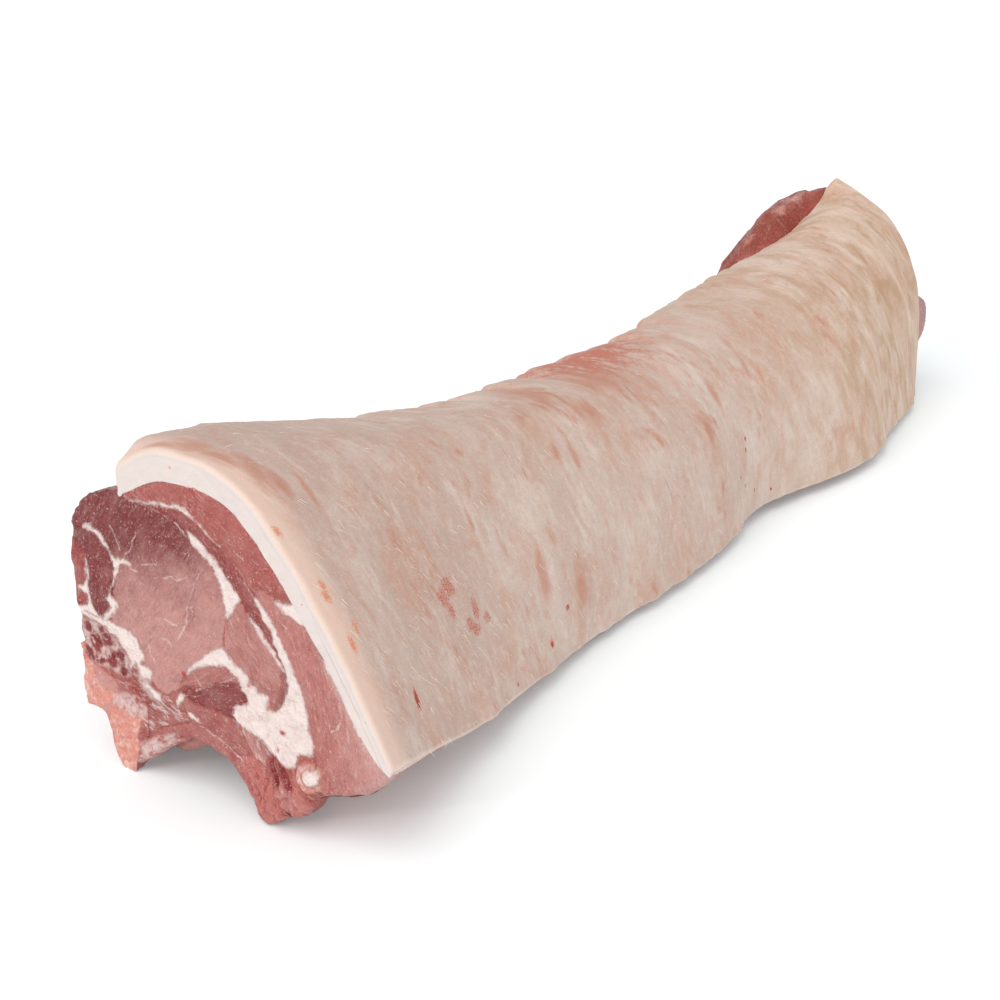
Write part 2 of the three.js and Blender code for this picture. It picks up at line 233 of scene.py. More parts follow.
# White fat on the shoulder cut
SEAMS = {
    "under the cap": [
        (12.5, 134), (20.5, 134.5), (33, 137), (46, 138.5), (50, 138), (54, 134.5), (60, 130.5),
        (67, 125), (62, 127.6), (54.5, 133), (47, 136), (36.5, 135.6), (27.5, 134.8), (20.5, 133.8),
    ],
    "wedge": [
        (49.5, 127.5), (55.5, 124.5), (63.5, 118), (70.5, 110.5), (75.5, 104.5), (73, 100), (68, 93),
        (66.5, 100), (65.5, 106.5), (61, 115), (53, 121), (50, 123.5),
    ],
    "round the multifidus": [
        (-13.5, 114.5), (-10, 117), (-6, 116), (-2, 114), (0, 110.5), (2, 105), (9, 105), (14, 104),
        (9, 102.5), (7, 99.5), (3, 92), (-0.5, 86), (4.5, 83.5), (3, 79.5), (-5.5, 71), (-7, 72.5),
        (-0.5, 80), (-2.5, 84), (1.5, 91.5), (3, 97.5), (2, 102), (-2, 109), (-5, 112.5), (-9, 114),
    ],
    "beside it": [
        (-14.5, 101), (-13, 97), (-13, 91), (-13.5, 86), (-12, 79), (-7, 72), (-14, 73), (-22, 71.5),
        (-20.5, 75), (-16, 77), (-15, 82), (-21, 84), (-16.5, 87), (-14.5, 93),
    ],
    "diagonal": [
        (-21, 73.5), (-8, 72.5), (4, 72), (9, 71), (14, 68.5), (15, 65), (18, 61), (15.5, 57),
        (20.5, 55), (20, 51), (15, 51), (12, 57), (8.5, 50), (8.5, 57), (4.5, 62), (-1, 66), (-10.5, 70),
        (-21, 71.5),
    ],
    "crescent": [
        (41, 59), (45.5, 64.5), (50.5, 69.5), (56.5, 74.5), (61.5, 77.5), (65.5, 78), (68, 75.5),
        (76.5, 71), (78.5, 67), (72, 67.5), (66, 70), (58, 69), (50, 65),
    ],
    "belly side": [
        (72.5, 68.5), (75, 70), (81.5, 66), (82, 63.5), (86, 64.5), (88.5, 63), (87, 58), (92, 58.5),
        (95.5, 62), (97.5, 67.5), (99, 74), (95.5, 84.5), (92.5, 90), (94, 92), (101, 83), (107, 70),
        (109.5, 59.5), (111.5, 45), (107, 42), (103.5, 41), (102, 36.5), (98, 33.5), (94, 33),
        (86.5, 38.5), (82, 42), (73.5, 44), (69, 46.5), (68.5, 52.5), (76.5, 57.5), (73, 64),
    ],
    "over the lower cap": [
        (84, 107), (87, 106), (93, 98.5), (103.5, 80), (100.5, 79), (94, 90), (87, 100.5),
    ],
    "under the strip": [
        (79.5, 100), (84, 95), (92.5, 86.5), (98, 78.5), (96, 78), (90.5, 86), (82.5, 93.5),
    ],
    "notch": [(94, 108), (100, 109), (105, 110), (110, 107), (109, 101), (104, 103), (99, 105)],
    "shred 1": [(13.5, 48), (17, 48.5), (23.5, 46.5), (27, 43.5), (24.5, 41), (19.5, 44.5)],
    "shred 2": [(36, 47.5), (40.5, 49.5), (39, 46), (35.5, 42.5)],
    "shred 3": [(41.5, 42.5), (45, 41.5), (50, 39), (46, 38.5), (42, 39.5)],
}
# Patches where white fat lies thin over lean or bone
PALE_PATCHES = [
    [(-7, 30), (-3, 37), (7, 41), (15, 38), (17, 32), (11, 27), (3, 25)],
    [(10, 14), (13, 18), (18, 21), (26, 26), (34, 28), (30, 21), (22, 15), (14, 8)],
    [(-20, 69), (-14, 69), (-13, 62), (-18, 56), (-21, 60)],
    [(12, 50), (16, 58), (20, 55), (20, 47), (27, 43), (22, 40), (15, 44)],
    [
        (-20, 70), (-11, 70), (-1, 65), (4, 61), (9, 57), (9, 50), (4, 47), (-4, 49), (-12, 48), (-16, 51),
        (-20, 60),
    ],
]
# Pale threads in the lean
THREADS = [
    [(20.5, 134), (29, 133.5), (34.5, 132), (41, 131), (45, 128.5), (48.5, 125.5)],
    [(4, 119.5), (6, 115), (8, 108.5)],
    [(19, 119), (17, 115.5), (15.5, 112), (11.5, 108.5), (9.5, 105)],
    [(11.5, 104.5), (14, 102.5), (19, 101.5)],
    [(21, 105), (26, 107), (31, 108.5)],
    [(26.5, 100.5), (32.5, 102), (38, 104), (41, 103), (47, 106.5)],
    [(55.5, 110.5), (51, 105), (48, 98), (44.5, 90.5), (45, 84.5), (40, 78), (37, 74.5)],
    [(31.5, 83.5), (35, 82.5), (39.5, 81.5)],
    [(29, 72.5), (32, 72.5), (34.5, 69.5)],
    [(21.5, 68), (21.5, 64), (25, 59.5)],
    [(66.5, 125), (71.5, 120.5), (76.5, 117), (79.5, 113.5)],
    [(78.5, 113), (82, 109.5), (85, 106)],
    [(46.5, 53.5), (52.5, 57), (60, 60.5), (66, 64), (72.5, 69)],
    [(47.5, 62), (48.5, 59.5), (50.5, 57.5)],
    [(28.5, 40), (34, 37), (41, 37.5), (48.5, 37), (57, 35), (63.5, 32.5), (69.5, 29), (74, 22)],
    [(23, 40.5), (26.5, 39.5), (30.5, 40)],
    [(126, 72), (127, 66), (125, 62), (121, 58)],
    [(75.5, 125), (79.5, 122.5)],
    [(96.5, 100.5), (100.5, 98.5), (99, 96.5)],
]
THREAD_HALF = 0.65
# Bone on the shoulder cut
SAWN_BONES = {
    "vertebra": [
        (-9.5, 20.5), (-7, 30), (0, 36), (9, 36), (12, 30), (9, 20), (9.5, 12.5), (7.5, 7), (4, -1),
        (-2, -1), (-4.5, 8.5), (-7.5, 15.5),
    ],
    "arch": [
        (-24, 72), (-21.5, 60.5), (-19.5, 55), (-17, 49.5), (-14, 41.5), (-8.5, 38), (-4, 36.5),
        (-5.5, 31.5), (-11, 28), (-18.5, 23), (-25, 25),
    ],
}
MARROW_ISLANDS = [
    (-17, 53, 3.8), (-12, 60, 4.3), (-5, 62, 3.5), (-3, 53.5, 4.0), (-10, 52, 2.8), (3, 57, 2.8),
    (-16.5, 66, 2.6), (4, 51, 2.4), (-8, 67, 2.0),
]
BONE_FADES_AT = 30  # height at which the vertebra's cut turns into the white above it
BONE_FADE = 0.35
BLOOD_SPOTS = [(95, 49, 1.3), (78.5, 66, 0.7), (41, 60, 1.1), (92, 40, 0.7)]
FAT_SPOTS = [(41.9, 153.7, 1.0), (8.6, 144.8, 1.6), (109, 111, 0.8), (139, 68.2, 0.8)]
GRISTLE_NUB = (109.5, 33)
NUB_RADIUS = 6.8
NUB_WHITE = (112.0, 35.0)
NUB_WHITE_RADIUS = 3.7
RIB_END_MIDDLE = (91, 16)

# Marks on the rind: x, share of the way from back to belly, half length along and around in mm
SCABS = [
    (95, 0.75, 4.5, 5), (89, 0.765, 4, 5), (91, 0.79, 2.5, 4), (110, 0.80, 3, 6), (118, 0.82, 3, 3),
    (103, 0.82, 3, 4), (107, 0.83, 4, 3.5),
]
RED_DOTS = [
    (190, 0.88, 2.2, 2.4), (172, 0.93, 1.8, 2.6), (135, 0.965, 1.6, 1.8), (44, 0.895, 2.0, 6.5),
    (397, 0.79, 1.6, 2.4), (396, 0.815, 1.6, 2.4), (384, 0.86, 1.4, 2.0), (392, 0.89, 1.4, 1.8),
    (406, 0.92, 1.4, 1.8), (428, 0.95, 1.4, 1.8),
]
BLOTCHES = [
    (12, 0.29, 7, 16), (13, 0.37, 6, 14), (18, 0.46, 6, 14), (36, 0.53, 1.8, 14), (24, 0.5, 4, 10),
    (7, 0.22, 5, 10), (242, 0.40, 16, 22), (266, 0.53, 5, 9), (145, 0.53, 2.5, 3), (130, 0.66, 1.8, 9),
    (217, 0.60, 3, 7), (229, 0.62, 3, 8), (300, 0.42, 22, 20), (381, 0.64, 3, 14), (356, 0.715, 3, 10),
    (205, 0.86, 8, 14), (172, 0.80, 6, 16),
]
ORANGE_FLECKS = [
    (4, 0.59, 2.2, 3), (11, 0.69, 2.2, 3.5), (10, 0.708, 2.8, 3.5), (26, 0.695, 0.9, 5),
    (18, 0.768, 1.8, 4.5), (11, 0.79, 2.2, 5), (433, 0.65, 1, 6), (172, 0.925, 2.4, 3),
]
RUDDY_MIDDLE = (330, 0.22)
RUDDY_REACH = (46, 0.2)
WARM_ZONE = 0.4  # how ruddy the wider skin round that patch is
WARM_REACH = (110, 0.34)

# The camera that took the photo
PHOTO_WIDTH_PX = 1000
FOCAL_PX = 1700
CAMERA_TURN = math.radians(-55.5)
CAMERA_RISE = math.radians(22.5)
CAMERA_PLACE = (-448.7, 511.1, 402.8)
SENSOR_MM = 36.0


# Curves and fields

NOISE_KNOTS = 8191
NOISE_PRIMES = (73856093, 19349663, 83492791)
NOISE_LAYERS = 3
LAYER_FAINTER = 0.55
LAYER_FINER = 2.03
OUTLINE_STEPS = 4  # to each side of an outline
BATCH = 4000  # points measured at a time
TINY = 1e-12

# Unevenness: height, seed, and size in mm along each axis or one for all of them
LUMPS = {
    "cut waves": (0.55, 51, 11.0),
    "cut grain": (0.24, 61, 2.6),
    "cut fat": (0.5, 71, 4.0),
    "rib end strands": (1.0, 81, 3.2, 13.0),
    "shreds": (1.1, 85, 2.2),
    "cut bone": (0.8, 91, 3.5),
    "skin waves": (0.9, 101, 55.0, 45.0),
    "skin wrinkles": (0.22, 111, 7.0, 40.0),
    "skin creases": (0.1, 121, 2.6, 9.0),
    "back edge": (1.2, 131, 17.0),
    "back fat": (0.4, 137, 22.0, 1.0),
    "belly edge": (1.7, 141, 17.0),
    "fat face": (0.35, 151, 5.0),
    "tufts": (1.0, 161, 6.0),
    "feather": (1.0, 171, 1.8),
    "lean": (1.0, 201, 16.0, 9.0, 9.0),
    "lean patches": (1.0, 211, 24.0, 14.0, 14.0),
    "lean streaks": (1.0, 221, 34.0, 4.0, 6.0),
    "lean film": (1.0, 231, 26.0, 7.0, 9.0),
    "backbone": (0.7, 301, 8.0, 7.0, 7.0),
    "flesh on bone": (1.0, 311, 13.0, 9.0, 9.0),
    "rear marrow": (1.0, 321, 9.0),
    "discs": (3.2, 331, 90.0, 15.0, 15.0),
}


def smooth_through(pairs):
    """A smooth curve through pairs of place and value, with the slope of its neighbours at each."""
    places, values = np.array(pairs, float).T
    order = np.arange(len(places))
    before = np.maximum(order - 1, 0)
    after = np.minimum(order + 1, order[-1])
    slopes = (values[after] - values[before]) / (places[after] - places[before])

    def at(place):
        place = np.clip(place, places[0], places[-1])
        i = np.clip(np.searchsorted(places, place, side="right") - 1, 0, order[-1] - 1)
        span = places[i + 1] - places[i]
        t = (place - places[i]) / span
        leave = slopes[i] * span * t * (1 - t) ** 2
        arrive = slopes[i + 1] * span * t * t * (t - 1)
        return values[i] + (values[i + 1] - values[i]) * t * t * (3 - 2 * t) + leave + arrive

    return at


def ease(value, low, high):
    """0 below low, 1 above high, smooth between."""
    t = np.clip((value - low) / (high - low), 0, 1)
    return t * t * (3 - 2 * t)


def mix(a, b, share):
    return a + (b - a) * share


def soft_noise(seed, *coords):
    """A smooth random field between -1 and 1, with one knot at each whole coordinate."""
    coords = np.broadcast_arrays(*[np.asarray(c, float) for c in coords])
    knots = np.random.default_rng(seed).uniform(-1, 1, NOISE_KNOTS)
    cells = [np.floor(c).astype(np.int64) for c in coords]
    parts = [ease(c - k, 0, 1) for c, k in zip(coords, cells)]
    total = np.zeros(coords[0].shape)
    for corner in np.ndindex(*(2,) * len(coords)):
        key = np.zeros(coords[0].shape, np.int64)
        weight = np.ones(coords[0].shape)
        for step, cell, part, prime in zip(corner, cells, parts, NOISE_PRIMES):
            key = key ^ ((cell + step) * prime)
            weight = weight * (part if step else 1 - part)
        total += weight * knots[key % len(knots)]
    return total


def rough_noise(seed, *coords):
    """Soft noise with finer and fainter layers on it."""
    coords = [np.asarray(c) for c in coords]
    layers = [soft_noise(seed + i, *[c * LAYER_FINER ** i for c in coords]) for i in range(NOISE_LAYERS)]
    return sum(LAYER_FAINTER ** i * layer for i, layer in enumerate(layers))


def lumps(name, *coords):
    """Unevenness from the list, at coordinates in mm."""
    height, seed, *sizes = LUMPS[name]
    if len(sizes) < len(coords):
        sizes = sizes * len(coords)
    return height * rough_noise(seed, *[c / size for c, size in zip(coords, sizes)])


def catmull(points, share):
    """Points on the curve through points, which lie along axis -2, at shares of its length in steps."""
    last = points.shape[-2] - 1
    i = np.minimum((share * last).astype(int), last - 1)
    t = (share * last - i)[:, None]
    p0, p1, p2, p3 = (points[..., np.clip(i + k, 0, last), :] for k in (-1, 0, 1, 2))
    v0, v1 = (p2 - p0) / 2, (p3 - p1) / 2
    cubic, square = 2 * p1 - 2 * p2 + v0 + v1, -3 * p1 + 3 * p2 - 2 * v0 - v1
    return cubic * t ** 3 + square * t ** 2 + v0 * t + p1, 3 * cubic * t ** 2 + 2 * square * t + v0


def round_outline(points):
    """A closed outline with its corners rounded, through the same points."""
    points = np.array(points, float)
    wrapped = np.concatenate([points[-2:], points, points[:3]])
    share = (2 + np.arange(len(points) * OUTLINE_STEPS) / OUTLINE_STEPS) / (len(wrapped) - 1)
    return catmull(wrapped, share)[0]


def unit(vectors):
    return vectors / np.maximum(np.linalg.norm(vectors, axis=-1, keepdims=True), TINY)


def distance_to_line(points, line, closed=False):
    """Distance of each point from a line of straight pieces."""
    starts, ends = (line, np.roll(line, -1, 0)) if closed else (line[:-1], line[1:])
    best = np.empty(len(points))
    span = ends - starts
    length2 = np.maximum((span ** 2).sum(-1), TINY)
    for i in range(0, len(points), BATCH):
        to = points[i:i + BATCH, None] - starts
        t = np.clip((to * span).sum(-1) / length2, 0, 1)
        best[i:i + BATCH] = np.sqrt(((to - t[..., None] * span) ** 2).sum(-1).min(1))
    return best


def inside(points, outline):
    """True where a point lies inside a closed outline."""
    x0, y0 = outline.T
    x1, y1 = np.roll(outline, -1, 0).T
    found = np.zeros(len(points), bool)
    rise = np.where(y1 == y0, TINY, y1 - y0)
    for i in range(0, len(points), BATCH):
        px, py = points[i:i + BATCH, 0, None], points[i:i + BATCH, 1, None]
        crosses = ((y0 > py) != (y1 > py)) & (px < x0 + (py - y0) * (x1 - x0) / rise)
        found[i:i + BATCH] = crosses.sum(1) % 2 == 1
    return found


def inside_by(points, outline):
    """How far points lie inside a closed outline; negative outside."""
    return distance_to_line(points, outline, True) * np.where(inside(points, outline), 1, -1)


def depth_in(points, outlines):
    """How far points lie inside each of some outlines, with their corners rounded."""
    return np.stack([inside_by(points, round_outline(outline)) for outline in outlines])


def depth_in_spots(out, up, spots):
    """How far points lie inside the nearest of some round spots: out, up, radius."""
    return np.max([radius - np.hypot(out - at_out, up - at_up) for at_out, at_up, radius in spots], 0)


def run_along(points):
    """How far along its line each point lies; points run along axis -2."""
    steps = np.linalg.norm(np.diff(points, axis=-2), axis=-1)
    return np.concatenate([np.zeros((*steps.shape[:-1], 1)), np.cumsum(steps, -1)], -1)


# Sections of the loin

def guide(points):
    """Out and up along the loin, as smooth curves through points."""
    x, out, up = np.array(points, float).T
    return smooth_through(np.stack([x, out], -1)), smooth_through(np.stack([x, up], -1))


rail = {name: guide(points) for name, points in RAILS.items()}
fat_depth = smooth_through(FAT)
cap_depth = smooth_through(CAP_LEAN)
seam_depth = smooth_through(SEAM_FAT)
layer_scale = smooth_through(LAYER_SCALE)
lean_top = smooth_through(LEAN_TOP)
hollow = smooth_through(HOLLOW)
bone_scale = smooth_through(BONE_SCALE)
belly_bow = smooth_through(BELLY_BOW)
eye_shade = smooth_through(EYE_SHADE)


def on_rail(name, x):
    return np.stack([rail[name][0](x), rail[name][1](x)], -1)


def rind_line(x, share):
    """The rind's outer line at each x and share, the way inward there, and the belly cut's direction."""
    guides = np.stack([on_rail(name, x) for name in RIND_RAILS], -2)
    point, tangent = catmull(guides, share)
    tangent = unit(tangent)
    inward = np.stack([tangent[..., 1], -tangent[..., 0]], -1)
    cut = on_rail("rib_foot", x) - on_rail("belly", x)
    turn = ease(share, CUT_FROM, 1)[None, :, None]
    return point, unit(mix(inward, unit(cut)[:, None], turn)), cut


def line_below(x, share, depth):
    """The rind's line moved inward by a depth, with the bow of the belly cut."""
    point, inward, cut = rind_line(x, share)
    along = depth / np.linalg.norm(cut, axis=-1)[:, None]
    bow = belly_bow(x)[:, None] * np.sin(2 * np.pi * along) * (1 - along) * ease(share, BOW_FROM, 1)
    below = unit(np.stack([-cut[:, 1], cut[:, 0]], -1))[:, None]
    moved = point + inward * depth[..., None] + below * bow[..., None]
    moved[..., 1] = np.maximum(moved[..., 1], 0)
    return moved


def hollow_roof(x, share, sloped=True):
    """The roof of the hollow under the ribs, from the rib foot at 0 to the backbone at 1."""
    near = ease(x, *SLOPE_ENDS)[:, None] if sloped else np.zeros((len(x), 1))
    foot = rail["rib_foot"][0](x)[:, None] - RIB_FOOT_WIDTH
    bone = max(out for out, _ in VERTEBRA) * bone_scale(x)[:, None] - SLOPE_REACH * near
    rise = np.sin(np.pi * np.minimum(share, HOLLOW_PEAK) ** HOLLOW_ROUND) ** HOLLOW_ROUND
    slope = np.maximum(1 - SLOPE_STEEP * (share - SLOPE_FROM), 0)
    rise = np.where(share > SLOPE_FROM, mix(rise, np.minimum(slope, 1), near), rise)
    return np.stack([mix(foot, bone, share), hollow(x)[:, None] * rise], -1)


def bone_outline(x):
    """Half a vertebra's outline at each x, thicker at the joints."""
    beat = 0.5 + 0.5 * np.cos(2 * np.pi * x / VERTEBRA_PITCH)
    scale = (bone_scale(x) * (1 + JOINT_SWELL * beat))[:, None, None]
    points = np.array(VERTEBRA, float)[None] * scale
    points[:, :, 0] = np.where(np.array(VERTEBRA)[:, 0] == SPLIT_SIDE, SPLIT_SIDE, points[:, :, 0])
    return points


def along_line(points, share):
    """Points at even steps along straight lines that run through points, axis -2."""
    last = points.shape[-2] - 1
    i = np.minimum((share * last).astype(int), last - 1)
    return mix(points[..., i, :], points[..., i + 1, :], (share * last - i)[:, None])


def roll(distance, radius):
    """How far a rounded edge falls back, at a distance from that edge."""
    near = np.clip(1 - distance / radius, 0, 1)
    return radius * (1 - np.sqrt(1 - near ** 2))


# Meshes

NET_CLEAR = 0.55  # steps that the net inside a cut keeps clear of its edge
WELD = 1e-7
SHARP_ANGLE = math.radians(50)


def place(points):
    """Points x, out, up in millimetres as points of the frame in metres."""
    x, out, up = np.moveaxis(np.asarray(points, float), -1, 0)
    return np.stack([NEAR_CUT + x * MM, SPLIT_FACE - (out - SPLIT_SIDE) * MM, up * MM], -1)


def cut_face(ring, grain):
    """Points inside a ring on a triangular net, and triangles that join them and the ring."""
    low, high = ring.min(0), ring.max(0)
    row = grain * math.sqrt(3) / 2
    up = np.arange(low[1], high[1], row)
    out = np.arange(low[0], high[0], grain)
    net = np.stack(np.broadcast_arrays(out[None], up[:, None]), -1).copy()
    net[1::2, :, 0] += grain / 2
    net = net.reshape(-1, 2)
    net = net[inside(net, ring)]
    net = net[distance_to_line(net, ring, True) > NET_CLEAR * grain]
    corners = np.concatenate([ring, net])
    sides = [(i, (i + 1) % len(ring)) for i in range(len(ring))]
    joined = delaunay_2d_cdt([Vector(p) for p in corners], sides, [], 1, WELD, False)
    if len(joined[0]) != len(corners):
        raise ValueError(f"a section crosses itself at {joined[0][len(corners):]}")
    triangles = np.array([tuple(face) for face in joined[2]])
    return net, triangles[inside(corners[triangles].mean(1), ring)].tolist()


class Loft:
    """A closed body through rings, one at each x, with a fine net over both cut faces."""

    def __init__(self, x, rings, near_grain, far_grain):
        stations, count = rings.shape[:2]
        side = np.concatenate([np.repeat(x, count)[:, None], rings.reshape(-1, 2)], 1)
        near_net, near_tris = cut_face(rings[0], near_grain)
        far_net, far_tris = cut_face(rings[-1], far_grain)
        near_from = len(side)
        far_from = near_from + len(near_net)
        self.points = np.concatenate([
            side,
            np.insert(near_net, 0, x[0], 1),
            np.insert(far_net, 0, x[-1], 1),
        ])
        start = np.arange(stations - 1)[:, None] * count
        a = start + np.arange(count)
        b = start + (np.arange(count) + 1) % count
        quads = np.stack([a, b, b + count, a + count], -1).reshape(-1, 4)
        near = [[k if k < count else k - count + near_from for k in tri] for tri in near_tris]
        last = (stations - 1) * count
        far = [[k + last if k < count else k - count + far_from for k in tri[::-1]] for tri in far_tris]
        self.faces = quads.tolist() + near + far
        self.near = np.concatenate([np.arange(count), np.arange(near_from, far_from)])
        self.far = np.concatenate([last + np.arange(count), np.arange(far_from, len(self.points))])
        self.stations, self.count = stations, count

    def on_side(self, values):
        """Values for each station and ring point, with zeros on the nets inside the cut faces."""
        full = np.zeros(len(self.points))
        full[:self.stations * self.count] = np.broadcast_to(values, (self.stations, self.count)).ravel()
        return full


def add_object(name, data):
    thing = bpy.data.objects.new(name, data)
    bpy.context.scene.collection.objects.link(thing)
    return thing


def make_piece(name, points, faces, marks, material):
    """A mesh object from points in millimetres, with a named value at each point for its material."""
    mesh = bpy.data.meshes.new(name)
    mesh.from_pydata(place(points).tolist(), [], faces)
    body = bmesh.new()
    body.from_mesh(mesh)
    bmesh.ops.recalc_face_normals(body, faces=body.faces)
    body.to_mesh(mesh)
    body.free()
    for mark, values in marks.items():
        kind = "FLOAT_VECTOR" if values.ndim == 2 else "FLOAT"
        layer = mesh.attributes.new(mark, kind, "POINT")
        layer.data.foreach_set("vector" if values.ndim == 2 else "value", values.astype(np.float32).ravel())
    mesh.shade_smooth()
    mesh.set_sharp_from_angle(angle=SHARP_ANGLE)
    mesh.materials.append(material)
    return add_object(name, mesh)


def settle(piece, slot, *nodes):
    """The piece rides on the loin's one body and stands for its solids."""
    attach(piece, "root")
    if nodes:
        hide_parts(*nodes)


# What the shoulder cut shows

BLEND = 0.45  # mm over which one muscle's shade turns into the next
GRAIN_ACROSS = 0.9  # mm between fibre bundles
GRAIN_ALONG = 3.8  # mm that a bundle runs before it changes
MUSCLE_APART = 7.3  # keeps one muscle's fibres from lining up with the next one's
STRAY = ((0.5, 5.0), (0.3, 1.4))  # mm that outlines stray, coarse and fine, and over what size
STRAY_SEEDS = (11, 31)
FINE_SEED = 9
EYE_MIDDLE = 20
GROOVE_WIDTH = 1.2
PATCH_EDGE = (-2.5, 3.0)
PATCH_SHARE = 0.9
PALER_SPAN = (116, 150)  # where the lower cap turns paler towards the belly, and by how much
PALER_DARK = 0.35
PALER_WARM = 0.34
PALER_THREAD = 0.4
RIB_END_REACH = 14.0
STRAND_SLANT = 0.45
# How much darker the sunken gaps between rib end strands are made: dark meat there, and painted shade in
# those recesses
STRAND_SHADE = 1.6
STRAND_LEVEL = 0.2


def rib_end_strands(out, up):
    """Where the torn meat at the rib ends lies, and its strands, which run down towards the belly."""
    apart = (out - RIB_END_MIDDLE[0]) ** 2 + (up - RIB_END_MIDDLE[1]) ** 2
    strands = lumps("rib end strands", out + STRAND_SLANT * up, up - STRAND_SLANT * out)
    return np.exp(-apart / RIB_END_REACH ** 2), strands


def strayed(out, up):
    """Points moved a little, so that outlines waver."""
    (far, size), (near, fine) = STRAY
    moves = [far * rough_noise(seed, out / size, up / size)
             + near * soft_noise(seed + FINE_SEED, out / fine, up / fine) for seed in STRAY_SEEDS]
    return np.stack([out + moves[0], up + moves[1]], -1)


def tissue_at(out, up, thread_half=THREAD_HALF):
    """At points across the cut: distance from fat, shade and grain of the lean, bone, marrow and blood."""
    points = strayed(out, up)
    names = list(MUSCLES)
    darkness, warmth, turn, sinewy, outlines = zip(*MUSCLES.values())
    deep = depth_in(points, outlines)
    weight = np.exp((deep - deep.max(0)) / BLEND)
    weight /= weight.sum(0)
    dark, warm, sinew = (np.array(values) @ weight for values in (darkness, warmth, sinewy))
    in_eye = weight[names.index("eye")]
    dark += in_eye * (eye_shade(up - EYE_SLANT * (out - EYE_MIDDLE)) - MUSCLES["eye"][0])
    paler = weight[names.index("lower cap")] * ease(out, *PALER_SPAN)
    dark -= PALER_DARK * paler
    warm -= PALER_WARM * paler
    reach, strands = rib_end_strands(out, up)
    # Darker where the strands sink back: partly dark torn meat, partly painted shade in the gaps between
    # strands
    dark += STRAND_SHADE * reach * (strands - STRAND_LEVEL)
    which = deep.argmax(0)
    lie = np.radians(turn)[which]
    across = out * np.sin(lie) - up * np.cos(lie)
    along = out * np.cos(lie) + up * np.sin(lie)
    fibre = np.stack([across / GRAIN_ACROSS, along / GRAIN_ALONG, MUSCLE_APART * which], -1)

    nub_white = depth_in_spots(*points.T, [(*NUB_WHITE, NUB_WHITE_RADIUS)])
    nub = depth_in_spots(*points.T, [(*GRISTLE_NUB, NUB_RADIUS)])
    fat = np.maximum(depth_in(points, SEAMS.values()).max(0), nub_white)
    from_thread = np.min([distance_to_line(points, np.array(line, float)) for line in THREADS], 0)
    thin = ease(depth_in(points, PALE_PATCHES), *PATCH_EDGE).max(0)
    thread = np.clip(1 - from_thread / thread_half, 0, 1)
    thread = np.max([thread, PATCH_SHARE * thin, PALER_THREAD * paler], 0)
    sawn = dict(zip(SAWN_BONES, depth_in(points, SAWN_BONES.values())))
    vertebra = np.minimum(sawn["vertebra"], BONE_FADE * (BONE_FADES_AT - up))
    bone = np.max([vertebra, sawn["arch"], np.minimum(nub, -nub_white)], 0)
    marrow = depth_in_spots(*points.T, MARROW_ISLANDS)
    blood = depth_in_spots(out, up, BLOOD_SPOTS)
    top = np.sort(deep, 0)
    groove = np.exp(-(top[-1] - top[-2]) / GROOVE_WIDTH)
    return {"lean": -fat, "dark": dark, "warm": warm, "sinew": sinew, "fibre": fibre, "thread": thread,
            "bone": bone, "marrow": marrow, "blood": blood, "groove": groove}


EDGE_FINE = 2.5  # how many mm either side of a boundary the marks keep
PLAIN_MARKS = {"lean": 1, "dark": 0.5, "warm": 0.3, "sinew": 0.4, "thread": 0, "groove": 0, "bone": -1,
               "marrow": -1, "blood": -1, "dried": 0}
CUT_PROUD = 0.4  # mm that the meat stands proud of the cut
GROOVE_DEEP = 0.75
FAT_PROUD = 0.35
SHRED_PROUD = 0.8
SHRED_DEEP = 3.4
NUB_PROUD = 4.0


def mark_face(marks, face, tissue):
    """Tissue values as marks on a cut face, with distances kept near their boundaries only."""
    for name, values in tissue.items():
        if name in ("lean", "bone", "marrow", "blood"):
            values = np.clip(values / EDGE_FINE, -1, 1)
        marks[name][face] = values


def side_marks(loft, **values):
    """Marks for the sides of a body; the nets inside its cuts are filled in later."""
    marks = {name: loft.on_side(value) for name, value in (PLAIN_MARKS | values).items()}
    x, out, up = loft.points.T
    marks["fibre"] = np.stack([(out + up) / (2 * GRAIN_ACROSS), x / (2 * GRAIN_ALONG), 0 * x], -1)
    return marks


def cut_relief(out, up, tissue):
    """How far the shoulder cut stands proud: muscles swell, seams sink, the rib end is ragged."""
    groove = GROOVE_DEEP * tissue["groove"] * ease(tissue["lean"], -1, 1)
    uneven = lumps("cut waves", out, up) + lumps("cut grain", out, up)
    fat = ease(-tissue["lean"], 0, 2) * (FAT_PROUD + lumps("cut fat", out, up))
    reach, strands = rib_end_strands(out, up)
    shreds = reach * (SHRED_PROUD - SHRED_DEEP * strands + lumps("shreds", out, up))
    bone = ease(tissue["bone"], -0.5, 1.5) * lumps("cut bone", out, up)
    from_nub = np.hypot(out - GRISTLE_NUB[0], up - GRISTLE_NUB[1]) / NUB_RADIUS
    nub = NUB_PROUD * np.sqrt(np.clip(1 - from_nub ** 2, 0, 1))
    return CUT_PROUD - groove + uneven + fat + shreds + bone + nub


# Rind and back fat

ROLL_STEPS = 6
LINE_STEPS = 800  # points that measure the rind's line
FIRST_STEPS = [0.0, 0.35, 0.9, 1.7]  # mm from the back edge
LAST_STEPS = [1.1, 0.4, 0.0]  # mm from the belly edge
STEPS_BETWEEN = (3.0, 2.0)  # mm in from those edges, between which steps are even
INNER_STEPS = 40
BELLY_SIDE = np.linspace(0, 1, 5)[1:-1]
BACK_SIDE = np.linspace(0, 1, 15)[1:-1]
RIND_GRAIN = (1.0, 1.6)
CALM_ENDS = 14.0  # mm from the cuts within which the skin is smoother
EDGE_REACH = 9.0
NOTCH_RISE = 10.0  # mm along the loin that a fold of the back edge takes to deepen, and to end
NOTCH_FALL = 2.6
NOTCH_REACH = 26.0
FOLD_DEEP = 0.55
FOLD_WIDTH = 0.1
BULGE_ROUND = 0.7
FAT_FACE_FROM = (3, 6)  # mm below the skin over which the cut fat turns uneven
FAR_FACE_ROUGHER = 2


